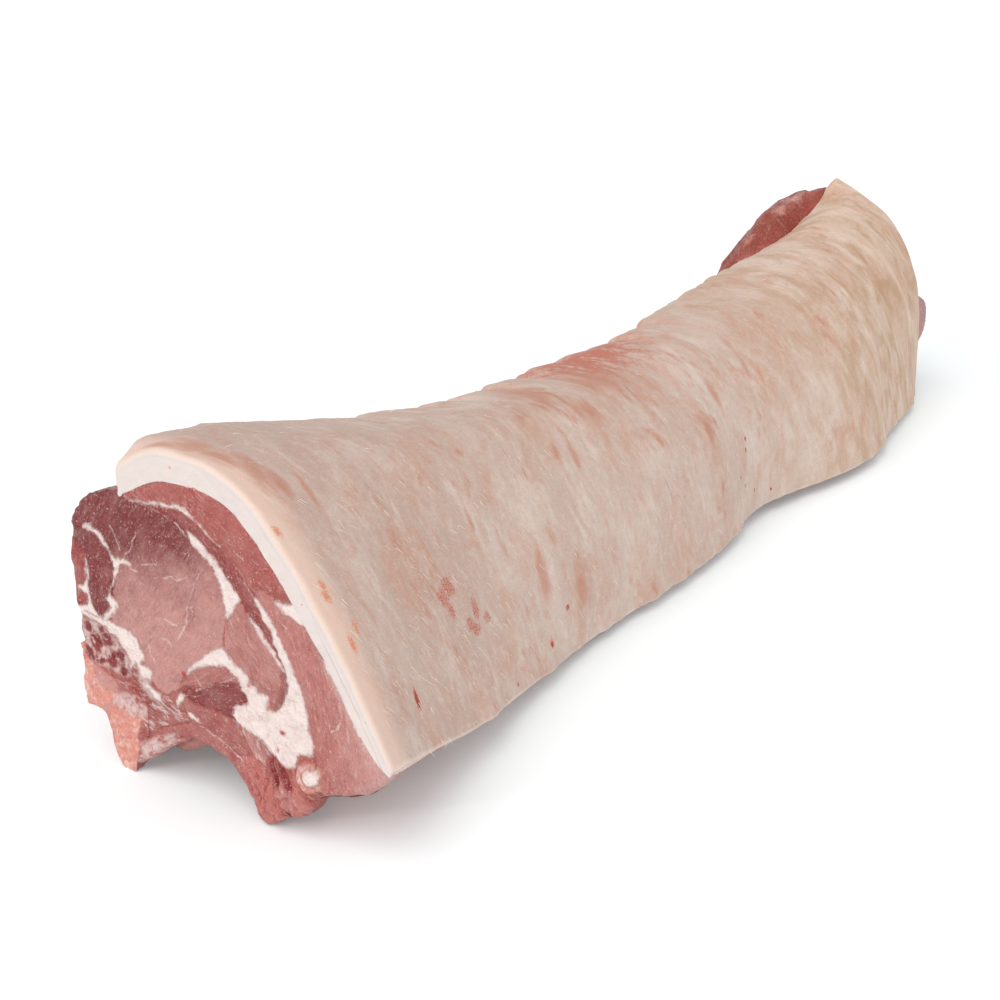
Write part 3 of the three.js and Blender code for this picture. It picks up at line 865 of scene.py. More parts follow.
def even_steps(end, step, first=()):
    """Places from 0 to end at about one spacing, with closer ones at both cuts."""
    start = first[-1] if len(first) else 0.0
    count = max(int(round((end - 2 * start) / step)), 1)
    between = np.linspace(start, end - start, count + 1)
    first = np.array(first[:-1] if len(first) else [], float)
    return np.concatenate([first, between, end - first[::-1]])


def skin_dips(along, around, end):
    """How far the skin dips: waves, wrinkles, wavy edges and the folds along the back."""
    to_belly = around[:, -1:] - around
    calm = ease(end, 0, CALM_ENDS)[:, None]
    waves = lumps("skin waves", along, around)
    fine = calm * (lumps("skin wrinkles", along, around) + lumps("skin creases", along, around))
    back_edge = np.exp(-around / EDGE_REACH) * lumps("back edge", along, 0 * along)
    belly_edge = np.exp(-to_belly / EDGE_REACH) * lumps("belly edge", along, 0 * along)
    notch = np.zeros(along.shape)
    for at in BACK_NOTCHES:
        past = along - at
        notch += np.where(past < 0, np.exp(past / NOTCH_RISE), np.exp(-(past / NOTCH_FALL) ** 2))
    folds = BACK_NOTCH_DEPTH * np.exp(-(around / NOTCH_REACH) ** 2) * notch
    return waves + fine + back_edge + belly_edge + folds


def rind_and_fat():
    """The skin with the fat grown on it, cut at both ends, along the back and along the belly."""
    angle = np.linspace(0, np.pi / 2, ROLL_STEPS)
    x = even_steps(RIND_LENGTH, RIND_STEP, CUT_ROLL * (1 - np.cos(angle)))
    end = np.minimum(x, RIND_LENGTH - x)
    cut_roll = roll(end, CUT_ROLL)

    # Even steps around the shoulder cut set the shares that all sections use
    fine = np.linspace(0, 1, LINE_STEPS)
    run = run_along(rind_line(np.zeros(1), fine)[0][0])
    after, before = STEPS_BETWEEN
    between = np.linspace(after, run[-1] - before, int(run[-1] / RIND_STEP))
    steps = np.concatenate([FIRST_STEPS, between, run[-1] - np.array(LAST_STEPS)])
    share = np.interp(steps, run, fine)
    point = rind_line(x, share)[0]
    around = run_along(point)
    along = np.broadcast_to(x[:, None], around.shape)

    sink = roll(around, BACK_ROLL) + roll(around[:, -1:] - around, BELLY_ROLL) + cut_roll[:, None]
    deepest = SINK_MOST * fat_depth(share) * layer_scale(x)[:, None]
    outer = line_below(x, share, np.minimum(sink + skin_dips(along, around, end), deepest))
    inner_share = np.linspace(1, 0, INNER_STEPS)
    thick = fat_depth(inner_share) * layer_scale(x)[:, None]
    inner = line_below(x, inner_share, thick)
    belly_side = along_line(np.stack([outer[:, -1], inner[:, 0]], 1), BELLY_SIDE)
    back_side = along_line(np.stack([inner[:, -1], outer[:, 0]], 1), BACK_SIDE)
    fold = FOLD_DEEP * np.exp(-((BACK_SIDE - FAT_FOLD) / FOLD_WIDTH) ** 2)
    bulge = np.sin(np.pi * BACK_SIDE) ** BULGE_ROUND - fold
    bulge = FAT_BULGE * bulge * (1 + lumps("back fat", along[:, :1], BACK_SIDE[None]))
    away = unit(outer[:, 0] - outer[:, len(FIRST_STEPS)])[:, None]
    back_side = back_side + away * bulge[..., None]
    loft = Loft(x, np.concatenate([outer, belly_side, inner, back_side], 1), *RIND_GRAIN)

    # Depth below the skin, which tells rind from fat on the cut faces
    skin_deep = np.maximum(cut_roll[:, None], roll(around, BACK_ROLL) / 2)
    belly_deep = BELLY_SIDE * thick[:, :1]
    back_deep = (1 - BACK_SIDE) * thick[:, -1:]
    depth = loft.on_side(np.concatenate([skin_deep, belly_deep, thick, back_deep], 1))
    for cut, section in ((loft.near, 0), (loft.far, -1)):
        depth[cut] = distance_to_line(loft.points[cut][:, 1:], point[section])
    uneven = lumps("fat face", *loft.points[:, 1:].T) * ease(depth, *FAT_FACE_FROM)
    loft.points[loft.near, 0] -= uneven[loft.near]
    loft.points[loft.far, 0] += FAR_FACE_ROUGHER * uneven[loft.far]

    marks = skin_marks(loft, along, around, share)
    marks["depth"] = depth
    out, up = loft.points[loft.near, 1:].T
    marks["fat_spot"] = np.full(len(depth), -1.0)
    marks["fat_spot"][loft.near] = np.max(
        [1 - np.hypot(out - at_out, up - at_up) / radius for at_out, at_up, radius in FAT_SPOTS], 0)
    piece = make_piece("rind_and_fat", loft.points, loft.faces, marks, rind_finish())
    flow_map(piece, loft, around)
    return piece, loft, outer


# Where bristles stand
TUFTS = (0.3, 0.75)
TUFT_LEAST = 0.07
THICKEST = (95, 0.86)  # middle of the thickest patch: x, share of the way to the belly; and its reach
THICKEST_REACH = (70, 0.16)
THICKEST_SHARE = 1.3
NEAR_SHARE = 0.26
NEAR_SPAN = (330, 120)
LEAST_SHARE = 0.05
BARE_CUT = (2, 12)
BARE_BACK = (0.06, 0.14)


def skin_marks(loft, along, around, share):
    """Scabs, flecks, the ruddy patch and where the bristles stand, at each point of the skin."""
    filler = loft.count - len(share)

    def over_skin(values):
        return loft.on_side(np.pad(np.broadcast_to(values, along.shape), ((0, 0), (0, filler))))

    def spots(marks):
        best = np.full(along.shape, -1.0)
        for x, at_share, half_x, half_around in marks:
            row = np.argmin(abs(along[:, 0] - x))
            middle = np.interp(at_share, share, around[row])
            far = np.hypot((along - x) / half_x, (around - middle) / half_around)
            best = np.maximum(best, 1 - far)
        return np.clip(best, -1, 1)

    def patch(middle, reach):
        return np.exp(-((along - middle[0]) / reach[0]) ** 2 - ((share - middle[1]) / reach[1]) ** 2)

    ruddy = patch(RUDDY_MIDDLE, RUDDY_REACH) + WARM_ZONE * patch(RUDDY_MIDDLE, WARM_REACH)
    tufts = ease(lumps("tufts", along, around), *TUFTS) + TUFT_LEAST
    bristle = NEAR_SHARE * ease(along, *NEAR_SPAN) + LEAST_SHARE
    bristle = bristle + THICKEST_SHARE * patch(THICKEST, THICKEST_REACH)
    bristle = bristle * tufts * ease(along, *BARE_CUT) * ease(share, *BARE_BACK)
    return {
        "scab": over_skin(spots(SCABS)),
        "dot": over_skin(spots(RED_DOTS)),
        "fleck": over_skin(spots(ORANGE_FLECKS)),
        "blotch": over_skin(spots(BLOTCHES)),
        "ruddy": over_skin(ruddy),
        "bristle": over_skin(bristle),
        "across": over_skin(share),
    }


FLOW_UNIT = 100.0


def flow_map(piece, loft, around):
    """A map over the skin, along the loin and around it, in units of 100 mm."""
    u = loft.points[:, 0] / FLOW_UNIT
    v = loft.on_side(np.pad(around / FLOW_UNIT, ((0, 0), (0, loft.count - around.shape[1]))))
    layer = piece.data.uv_layers.new(name="flow")
    corner = np.empty(len(piece.data.loops), np.int32)
    piece.data.loops.foreach_get("vertex_index", corner)
    layer.data.foreach_set("uv", np.stack([u[corner], v[corner]], -1).astype(np.float32).ravel())


# Lean, seams and the cut under the ribs

LEAN_FIRST = [0.0, 4.2, 8.0]
# Points on each span of a section, and mm of unevenness there
LEAN_RING = {"outer": 70, "belly": 26, "foot": 14, "roof": 44, "bone": 22, "wall": 74, "crest": 7}
LEAN_UNEVEN = {"outer": 0, "belly": 0.8, "foot": 1.5, "roof": 0.7, "bone": 0, "wall": 1.4, "crest": 0.5}


def meat():
    """All the lean and the fat between its muscles, as one body round the backbone."""
    even = {name: np.linspace(0, 1, count) for name, count in LEAN_RING.items()}
    x = even_steps(RIND_LENGTH + FAR_LEAN, LEAN_STEP, LEAN_FIRST)
    scale = layer_scale(x)[:, None]
    share = even["outer"]
    outer = line_below(x, share, fat_depth(share) * scale - UNDER_FAT)
    layers = (fat_depth(1.0) + cap_depth(1.0) + seam_depth(1.0)) * scale
    cut_depth = mix(fat_depth(1.0) * scale - UNDER_FAT, layers, even["belly"])
    belly = np.concatenate(
        [line_below(x, np.ones(1), cut_depth[:, k:k + 1]) for k in range(1, len(even["belly"]))], 1)
    foot = on_rail("rib_foot", x)[:, None]
    to_tip = even["foot"][1:]
    to_foot = along_line(np.concatenate([belly[:, -1:], foot], 1), to_tip)
    hang = np.exp(-((to_tip - TORN_LUMP_AT) / TORN_LUMP_SPAN) ** 2) * ease(x, *TORN_LUMP_ENDS)[:, None]
    edge = unit(foot - belly[:, -1:])
    to_foot = to_foot + TORN_LUMP * hang[..., None] * np.stack([-edge[..., 1], edge[..., 0]], -1)
    roof = hollow_roof(x, even["roof"])
    outline = bone_outline(x)
    bone = mix(outline, outline.mean(1, keepdims=True), UNDER_BONE)[:, BONE_SHOULDER:BONE_CREST + 1]
    round_bone = along_line(bone, even["bone"][1:])
    wall = np.stack([
        np.broadcast_to([side * SPLIT_SIDE for side, _ in SPLIT_WALL], (len(x), len(SPLIT_WALL))),
        np.array([part for _, part in SPLIT_WALL]) * lean_top(x)[:, None],
    ], -1)
    wall, _ = catmull(np.concatenate([bone[:, -1:], wall], 1), even["wall"][1:])
    crest = along_line(np.stack([wall[:, -1], outer[:, 0]], 1), even["crest"][1:-1])
    spans = [outer, belly, to_foot, roof, round_bone, wall, crest]
    kind = np.repeat(list(LEAN_RING), [span.shape[1] for span in spans])
    ring = np.concatenate(spans, 1)

    # Unevenness of what isn't hidden under the fat, across its own surface
    tangent = unit(np.roll(ring, -1, 1) - np.roll(ring, 1, 1))
    normal = np.stack([tangent[..., 1], -tangent[..., 0]], -1)
    uneven = np.array([LEAN_UNEVEN[name] for name in kind])
    along = np.broadcast_to(x[:, None], ring.shape[:2])
    ring = ring + normal * (uneven * lumps("lean", along, ring[..., 0], ring[..., 1]))[..., None]
    ring[..., 1] = np.maximum(ring[..., 1], 0)
    loft = Loft(x, ring, NEAR_GRAIN, FAR_GRAIN)

    marks = wall_marks(loft, along, ring, kind)
    shape_near_face(loft, marks, kind)
    shape_far_face(loft, marks)
    return make_piece("meat", loft.points, loft.faces, marks, lean_finish())


SPINE_TALL = 0.8  # height of the spinous processes, as a share of the lean's
SPINE_BASE = 7.5  # their half width at the backbone and at the tip, in mm
SPINE_TIP = 3.5
SPINE_FOOT = 54
SPINE_SLANT = 0.35
SPINE_POINTED = 0.7
SPINE_WAVER = (1.5, 0.8)
SPLIT_PLANE = -15
REAR_SPAN = (480, 600)  # towards the rear the split side is redder and drier
RIM_FROM = 0.955


def wall_marks(loft, along, ring, kind):
    """Tissue on the sides of the lean, between the two cuts."""
    out, up = ring[..., 0], ring[..., 1]
    patch = lumps("lean patches", along, out, up)
    streak = lumps("lean streaks", along, up, out)
    film = lumps("lean film", along, up, out)
    rear = ease(along, *REAR_SPAN)
    by_kind = {
        # lean, darkness, warmth
        "outer": (-1, 0.2, 0.2),
        "belly": (0.75 + 0.9 * patch, 0.35, 0.3),
        "foot": (0.9 + 0.8 * patch, 0.6, 0.7),
        "roof": (0.7 + 0.8 * streak, 0.45, 0.4),
        "bone": (-0.6, 0.5, 0.5),
        "wall": (1.0 + 0.3 * rear + 0.9 * streak, 0.85 + 0.25 * rear + 0.6 * film, 0.3 + 0.3 * rear),
        "crest": (0.9 + 0.3 * rear + 0.8 * streak, 0.8 + 0.3 * rear + 0.6 * film, 0.45 + 0.25 * rear),
    }
    where = [kind == name for name in by_kind]
    lean, dark, warm = (np.select(where, values) for values in zip(*by_kind.values()))

    # Spinous processes show as sawn bone on the split side
    wall = np.broadcast_to(kind == "wall", along.shape)
    split = wall | (kind == "crest")
    slanted = along - SPINE_SLANT * (up - SPINE_FOOT)
    from_spine = abs((slanted / VERTEBRA_PITCH) % 1 - 0.5) * VERTEBRA_PITCH
    top = lean_top(along)
    tip = SPINE_TALL * top
    half = mix(SPINE_BASE, SPINE_TIP, ease(up, SPINE_FOOT, tip))
    spine = np.minimum(half - from_spine, SPINE_POINTED * (tip - up))
    spine = spine + SPINE_WAVER[0] * patch + SPINE_WAVER[1] * film
    bone = np.where(wall & (out < SPLIT_PLANE), np.clip(spine / EDGE_FINE, -1, 1), -1)
    rim = ease(up, RIM_FROM * top, top) * rear * split
    bone = np.maximum(bone, np.clip(1.5 * rim - 1.75 + 0.9 * patch, -1, 1))
    return side_marks(
        loft,
        lean=np.clip(lean, -1, 1),
        sinew=0.4 - 0.35 * rear,
        dark=dark + 0.2 * patch,
        warm=warm,
        bone=bone,
        marrow=np.where(bone > 0, np.clip(0.12 * spine + 0.9 * film - 0.75, -1, 1), -1),
        dried=rear * (0.8 + 0.4 * film) * split,
    )


EDGE_ROLL = {"belly": 5.0, "foot": 2.6, "roof": 2.6, "wall": 2.6, "crest": 2.6}
FEATHER = 1.1  # mm that the back fat runs into the lean on the shoulder cut
FEATHER_SPAN = (128, 90)  # heights from which and to which that grows
VEIL = 3.5  # mm over which the lean beside it is paler
VEIL_SPAN = (128, 80)
VEIL_PALER = 0.25
VEIL_COOLER = 0.2
VEIL_THREAD = 0.65
FLUSH = 3.5  # mm from the fat over which the relief sets in
BEHIND_FAT = 0.3
RELIEF_FROM = (-1, 2.5)


def shape_near_face(loft, marks, kind):
    """Muscles, seams and relief on the shoulder cut, with its free edges rounded."""
    out, up = loft.points[loft.near, 1:].T
    at = np.stack([out, up], -1)
    ring = loft.points[:loft.count, 1:]
    reach = {name: distance_to_line(at, ring[kind == name]) for name in EDGE_ROLL}
    fat_edge = distance_to_line(at, ring[kind == "outer"])
    tissue = tissue_at(out, up)
    feather = FEATHER * (0.25 + 0.75 * ease(up, *FEATHER_SPAN))
    tissue["lean"] = np.minimum(tissue["lean"], fat_edge - feather * (0.5 + lumps("feather", out, up)))
    veil = np.exp(-fat_edge / VEIL) * ease(up, *VEIL_SPAN)
    tissue["dark"] = tissue["dark"] - VEIL_PALER * veil
    tissue["warm"] = tissue["warm"] - VEIL_COOLER * veil
    tissue["thread"] = np.maximum(tissue["thread"], VEIL_THREAD * veil)
    mark_face(marks, loft.near, tissue)
    proud = cut_relief(out, up, tissue) * ease(np.min(list(reach.values()), 0), *RELIEF_FROM)
    fall = np.max([roll(reach[name], radius) for name, radius in EDGE_ROLL.items()], 0)
    loft.points[loft.near, 0] += fall + mix(BEHIND_FAT, -proud, ease(fat_edge, 0, FLUSH))


FAR_WIDEN = 1.42  # how many times as wide and as high the shoulder cut's muscles are
FAR_RAISE = 1.04
FAR_THREAD = 0.5
LUMP_TALL = 1.6
LUMP_EDGE = 4.0
LUMP_FROM = (1, 5)  # mm of the lump over which its own marks set in
LUMP_MARKS = {"lean": 0.4, "dark": 0.62, "warm": 0.2, "sinew": 0.1, "thread": 0, "bone": -1, "marrow": -1}


def shape_far_face(loft, marks):
    """The rear cut: the same muscles on its smaller section, and the lump under the rind."""
    out, up = loft.points[loft.far, 1:].T
    tissue = tissue_at(np.where(out > 0, out * FAR_WIDEN, out), up * FAR_RAISE, thread_half=2 * FAR_GRAIN)
    tissue["thread"] = FAR_THREAD * tissue["thread"]
    mark_face(marks, loft.far, tissue)
    share = np.array([LUMP_PLACE])
    x = np.array([RIND_LENGTH])
    depth = (fat_depth(share) + 0.5 * cap_depth(share)) * layer_scale(x)[:, None]
    middle = line_below(x, share, depth)[0, 0]
    from_lump = np.hypot(out - middle[0], (up - middle[1]) / LUMP_TALL) / LUMP_WIDTH
    edge = distance_to_line(np.stack([out, up], -1), loft.points[loft.far[:loft.count], 1:], True)
    lump = FAR_LUMP * np.exp(-from_lump ** 4) * ease(edge, 0, LUMP_EDGE)
    loft.points[loft.far, 0] += lump + cut_relief(out, up, tissue)
    on_lump = ease(lump, *LUMP_FROM)
    for mark, value in LUMP_MARKS.items():
        marks[mark][loft.far] = mix(marks[mark][loft.far], value, on_lump)


# Backbone and ribs

BONE_FIRST = [0.0, 1.2]
BONE_SIDE_STEPS = 9  # points for each side of its outline
BONE_SOFTEN = 2
BONE_GRAIN = (0.8, 1.8)
VERTEBRA_WAIST = 1.6
SAWN_ROUGH = 0.4
DISC_EDGE = (-1.5, 1.0)
DISC_RAGGED = 1.4
SPLIT_EDGE = 1.0
HOLLOW_SIDE = (-2, 6)
MARROW_FROM = (3, 14)  # mm from a disc over which marrow sets in


def backbone():
    """The split backbone: half vertebrae with discs between them and the groove of the spinal canal."""
    x = even_steps(RIND_LENGTH + FAR_LEAN, BONE_STEP, BONE_FIRST)
    outline = bone_outline(x)
    count = len(VERTEBRA) * BONE_SIDE_STEPS
    wrapped = np.concatenate([outline, outline[:, :1]], 1)
    ring = along_line(wrapped, np.arange(count) / count)
    for _ in range(BONE_SOFTEN):
        ring = 0.5 * ring + 0.25 * (np.roll(ring, 1, 1) + np.roll(ring, -1, 1))
    split = ring[..., 0] < SPLIT_SIDE + SPLIT_EDGE
    along = np.broadcast_to(x[:, None], ring.shape[:2])
    outward = unit(ring - ring.mean(1, keepdims=True))
    waver = lumps("discs", along, ring[..., 0], ring[..., 1])
    from_disc = abs(((along + waver) / VERTEBRA_PITCH + 0.5) % 1 - 0.5) * VERTEBRA_PITCH
    waist = -VERTEBRA_WAIST * np.sin(np.pi * np.clip(from_disc / (VERTEBRA_PITCH / 2), 0, 1)) ** 2
    uneven = lumps("backbone", along, ring[..., 0], ring[..., 1])
    sunk = DISC_SUNK * ease(DISC_HALF - from_disc, *DISC_EDGE)
    ring = ring + outward * np.where(split, SAWN_ROUGH * uneven - sunk, waist + uneven)[..., None]
    ring[..., 1] = np.maximum(ring[..., 1], 0)
    ring[..., 0] = np.maximum(ring[..., 0], SPLIT_SIDE)
    loft = Loft(x, ring, *BONE_GRAIN)
    disc = np.clip((DISC_HALF - from_disc + DISC_RAGGED * uneven) / EDGE_FINE, -1, 1)
    flesh = lumps("flesh on bone", along, ring[..., 0], ring[..., 1])
    hollow_side = ease(ring[..., 0], *HOLLOW_SIDE)
    marrow = 0.8 * flesh + 0.5 * ease(from_disc, *MARROW_FROM) - 0.75
    marks = side_marks(
        loft,
        lean=np.where(split, -1, np.minimum(np.clip(0.2 + flesh, -1, 1), -disc)),
        dark=0.6,
        warm=0.3,
        bone=np.minimum(np.clip(0.9 - 1.6 * hollow_side - 0.5 * flesh, -1, 1), -disc),
        marrow=np.where(split, np.clip(marrow, -1, 1), -1),
    )
    out, up = loft.points[loft.far, 1:].T
    marks["bone"][loft.far] = 0.9
    marks["marrow"][loft.far] = np.clip(lumps("rear marrow", out, up) - 0.35, -1, 1)
    out, up = loft.points[loft.near, 1:].T
    tissue = tissue_at(out, up)
    mark_face(marks, loft.near, tissue)
    loft.points[loft.near, 0] -= cut_relief(out, up, tissue) + BONE_PROUD
    return make_piece("backbone_half", loft.points, loft.faces, marks, bone_finish())


def new_tree(name, sockets):
    """A geometry tree with a geometry in and out and named inputs."""
    tree = bpy.data.node_groups.new(name, "GeometryNodeTree")
    tree.interface.new_socket("Geometry", in_out="INPUT", socket_type="NodeSocketGeometry")
    ids = {}
    for label, kind, value in sockets:
        socket = tree.interface.new_socket(label, in_out="INPUT", socket_type=kind)
        if value is not None:
            socket.default_value = value
        ids[label] = socket.identifier
    tree.interface.new_socket("Geometry", in_out="OUTPUT", socket_type="NodeSocketGeometry")
    return tree, ids


def add_node(tree, kind, links=None, **settings):
    """A node with its settings; links gives its inputs as sockets or plain values."""
    node = tree.nodes.new(kind)
    for key, value in settings.items():
        setattr(node, key, value)
    for key, value in (links or {}).items():
        socket = node.inputs[key]
        if isinstance(value, bpy.types.NodeSocket):
            tree.links.new(value, socket)
        else:
            socket.default_value = value
    return node


def made(tree, kind, links=None, **settings):
    """The first output of a new node."""
    return add_node(tree, kind, links, **settings).outputs[0]


def math_node(tree, operation, *values, clamp=False):
    return made(tree, "ShaderNodeMath", dict(enumerate(values)), operation=operation, use_clamp=clamp)


def grown_mesh(name, source, tree, values):
    """The plain mesh that a geometry tree makes of a source object, which is removed."""
    grower = source.modifiers.new("grow", "NODES")
    grower.node_group = tree
    for identifier, value in values.items():
        grower[identifier] = value
    seen = source.evaluated_get(bpy.context.evaluated_depsgraph_get())
    mesh = bpy.data.meshes.new_from_object(seen)
    source.modifiers.remove(grower)
    bpy.data.objects.remove(source)
    mesh.name = name
    return add_object(name, mesh)


RIB_UNEVEN = 2.4
RIB_TAPER = 0.3
RIB_TAPER_SHARP = 4.0
RIB_SIDES = 20
RIB_BUMP_SCALE = 95.0


def rib_tree():
    """Oval bars along the rib paths, uneven, thinner at their ends and nowhere below the floor."""
    tree, ids = new_tree("rib bars", [
        ("Width", "NodeSocketFloat", 0.01), ("Depth", "NodeSocketFloat", 0.01),
        ("Unevenness", "NodeSocketFloat", 0.0), ("Finish", "NodeSocketMaterial", None),
    ])
    given = add_node(tree, "NodeGroupInput").outputs
    curve = made(tree, "GeometryNodeMeshToCurve", {"Mesh": given["Geometry"]})
    curve = made(tree, "GeometryNodeCurveSplineType", {"Curve": curve}, spline_type="CATMULL_ROM")
    curve = made(tree, "GeometryNodeSetCurveNormal", {"Curve": curve}, mode="Z_UP")
    way = add_node(tree, "GeometryNodeSplineParameter").outputs["Factor"]
    end = math_node(tree, "POWER", math_node(tree, "MULTIPLY_ADD", way, 2.0, -1.0), RIB_TAPER_SHARP)
    thin = math_node(tree, "MULTIPLY_ADD", end, -RIB_TAPER, 1.0)
    curve = made(tree, "GeometryNodeSetCurveRadius", {"Curve": curve, "Radius": thin})
    circle = made(tree, "GeometryNodeCurvePrimitiveCircle", {"Resolution": RIB_SIDES, "Radius": 0.5})
    size = made(tree, "ShaderNodeCombineXYZ", {"X": given["Depth"], "Y": given["Width"], "Z": 1.0})
    oval = made(tree, "GeometryNodeTransform", {"Geometry": circle, "Scale": size})
    bar = made(tree, "GeometryNodeCurveToMesh", {"Curve": curve, "Profile Curve": oval, "Fill Caps": True})
    bumps = add_node(tree, "ShaderNodeTexNoise", {"Scale": RIB_BUMP_SCALE, "Detail": 3.0}).outputs["Fac"]
    lift = math_node(tree, "MULTIPLY", math_node(tree, "SUBTRACT", bumps, 0.5), given["Unevenness"])
    outward = made(tree, "GeometryNodeInputNormal")
    push = made(tree, "ShaderNodeVectorMath", {0: outward, "Scale": lift}, operation="SCALE")
    bar = made(tree, "GeometryNodeSetPosition", {"Geometry": bar, "Offset": push})
    parts = add_node(tree, "ShaderNodeSeparateXYZ", {0: made(tree, "GeometryNodeInputPosition")}).outputs
    raised = math_node(tree, "MAXIMUM", parts["Z"], 0.0)
    above = made(tree, "ShaderNodeCombineXYZ", {"X": parts["X"], "Y": parts["Y"], "Z": raised})
    bar = made(tree, "GeometryNodeSetPosition", {"Geometry": bar, "Position": above})
    bar = made(tree, "GeometryNodeSetShadeSmooth", {"Geometry": bar})
    bar = made(tree, "GeometryNodeRealizeInstances", {"Geometry": bar})
    done = made(tree, "GeometryNodeSetMaterial", {"Geometry": bar, "Material": given["Finish"]})
    add_node(tree, "NodeGroupOutput", {"Geometry": done})
    return tree, ids


def ribs():
    """The ribs along the roof of the hollow, the first one just behind the shoulder cut."""
    share = np.linspace(*RIB_SPAN, RIB_STEPS + 1)
    points, edges = [], []
    for i in range(RIB_COUNT):
        x = np.array([max(RIB_FIRST + i * VERTEBRA_PITCH, RIB_BEHIND_CUT)])
        path = hollow_roof(x, share, sloped=False)[0] + (0, RIB_SINK)
        start = len(points)
        points += [(x[0], out, up) for out, up in path]
        edges += [(start + k, start + k + 1) for k in range(RIB_STEPS)]
    mesh = bpy.data.meshes.new("rib paths")
    mesh.from_pydata(place(points).tolist(), edges, [])
    source = add_object("rib paths", mesh)
    tree, ids = rib_tree()
    return grown_mesh("rib_bars", source, tree, {
        ids["Width"]: RIB_WIDTH * MM, ids["Depth"]: RIB_DEPTH * MM, ids["Unevenness"]: RIB_UNEVEN * MM,
        ids["Finish"]: membrane_finish(),
    })


# Bristles

BRISTLE_LENGTH = 3.6
BRISTLE_THICK = 0.27
BRISTLE_DENSITY = 75000.0
BRISTLE_REARWARD = 0.25
BRISTLE_LIFT = 0.22
BRISTLE_SEED = 7
BRISTLE_TIP = 0.12  # thickness of the tip, as a share of the root's
BRISTLE_SIZES = (0.45, 1.25)
STRAY_LEAST = (-0.34, -0.34, -0.1)  # how far single hairs stray from the lie of the others
STRAY_MOST = (0.34, 0.34, 0.3)


def bristle_tree():
    """Short stiff hairs over a skin, lying along its lie and scattered by its bristle mark."""
    tree, ids = new_tree("bristles", [
        ("Length", "NodeSocketFloat", 0.004), ("Thickness", "NodeSocketFloat", 0.0003),
        ("Density", "NodeSocketFloat", 1000.0), ("Seed", "NodeSocketInt", 0),
        ("Finish", "NodeSocketMaterial", None),
    ])
    given = add_node(tree, "NodeGroupInput").outputs
    seed = given["Seed"]
    mark = made(tree, "GeometryNodeInputNamedAttribute", {"Name": "bristle"}, data_type="FLOAT")
    density = math_node(tree, "MULTIPLY", mark, given["Density"])
    roots = made(tree, "GeometryNodeDistributePointsOnFaces", {
        "Mesh": given["Geometry"], "Density": density, "Seed": seed}, distribute_method="RANDOM")
    half = math_node(tree, "MULTIPLY", given["Thickness"], 0.5)
    tip = math_node(tree, "MULTIPLY", given["Thickness"], BRISTLE_TIP)
    hair = made(tree, "GeometryNodeMeshCone", {
        "Vertices": 4, "Side Segments": 2, "Fill Segments": 1, "Radius Top": tip,
        "Radius Bottom": half, "Depth": given["Length"]})
    lie = made(tree, "GeometryNodeInputNamedAttribute", {"Name": "lie"}, data_type="FLOAT_VECTOR")
    stray = made(tree, "FunctionNodeRandomValue", {
        "Min": STRAY_LEAST, "Max": STRAY_MOST, "Seed": seed}, data_type="FLOAT_VECTOR")
    way = made(tree, "ShaderNodeVectorMath", {0: lie, 1: stray}, operation="ADD")
    turn = made(tree, "FunctionNodeAlignRotationToVector", {"Vector": way}, axis="Z")
    least, most = BRISTLE_SIZES
    size = add_node(tree, "FunctionNodeRandomValue", {2: least, 3: most, "Seed": seed}, data_type="FLOAT")
    hairs = made(tree, "GeometryNodeInstanceOnPoints", {
        "Points": roots, "Instance": hair, "Rotation": turn, "Scale": size.outputs[1]})
    real = made(tree, "GeometryNodeRealizeInstances", {"Geometry": hairs})
    done = made(tree, "GeometryNodeSetMaterial", {"Geometry": real, "Material": given["Finish"]})
    add_node(tree, "NodeGroupOutput", {"Geometry": done})
    return tree, ids


def bristles(rind, loft, outer):
    """Hairs left by the scalding, lying towards the belly and a little rearward."""
    mesh = rind.data.copy()
    down = unit(np.gradient(outer, axis=1))
    filler = ((0, 0), (0, loft.count - outer.shape[1]))
    ways = (np.full(outer.shape[:2], BRISTLE_REARWARD), -down[..., 0], down[..., 1])
    lie = np.stack([loft.on_side(np.pad(way, filler)) for way in ways], -1)
    normals = np.empty(len(mesh.vertices) * 3, np.float32)
    mesh.vertices.foreach_get("normal", normals)
    lie += BRISTLE_LIFT * normals.reshape(-1, 3)
    layer = mesh.attributes.new("lie", "FLOAT_VECTOR", "POINT")
    layer.data.foreach_set("vector", lie.astype(np.float32).ravel())
    source = add_object("bristle bed", mesh)
    tree, ids = bristle_tree()
    return grown_mesh("bristles", source, tree, {
        ids["Length"]: BRISTLE_LENGTH * MM, ids["Thickness"]: BRISTLE_THICK * MM,
        ids["Density"]: BRISTLE_DENSITY, ids["Seed"]: BRISTLE_SEED, ids["Finish"]: bristle_finish(),
    })


# Finishes

def srgb(red, green, blue):
    """A colour read off a screen, 0 to 255, as the linear colour that shaders take."""
    parts = np.array([red, green, blue]) / 255
    linear = np.where(parts <= 0.04045, parts / 12.92, ((parts + 0.055) / 1.055) ** 2.4)
    return (*linear.tolist(), 1.0)


def new_finish(name, **settings):
    """A material with its shader, whose plain settings are given by socket name with _ for spaces."""
    material = bpy.data.materials.new(name)
    material.use_nodes = True
    tree = material.node_tree
    shader = tree.nodes["Principled BSDF"]
    for key, value in settings.items():
        shader.inputs[key.replace("_", " ")].default_value = value
    return material, tree, shader


def step_between(tree, value, low, high):
    """0 below low, 1 above high, smooth between; high may lie below low."""
    node = add_node(tree, "ShaderNodeMapRange", {
        "Value": value, "From Min": low, "From Max": high}, interpolation_type="SMOOTHSTEP")
    return node.outputs["Result"]


def colour_mix(tree, share, first, second):
    return add_node(tree, "ShaderNodeMix", {0: share, 6: first, 7: second}, data_type="RGBA").outputs[2]


def mark_value(tree, name):
    return add_node(tree, "ShaderNodeAttribute", attribute_name=name).outputs["Fac"]


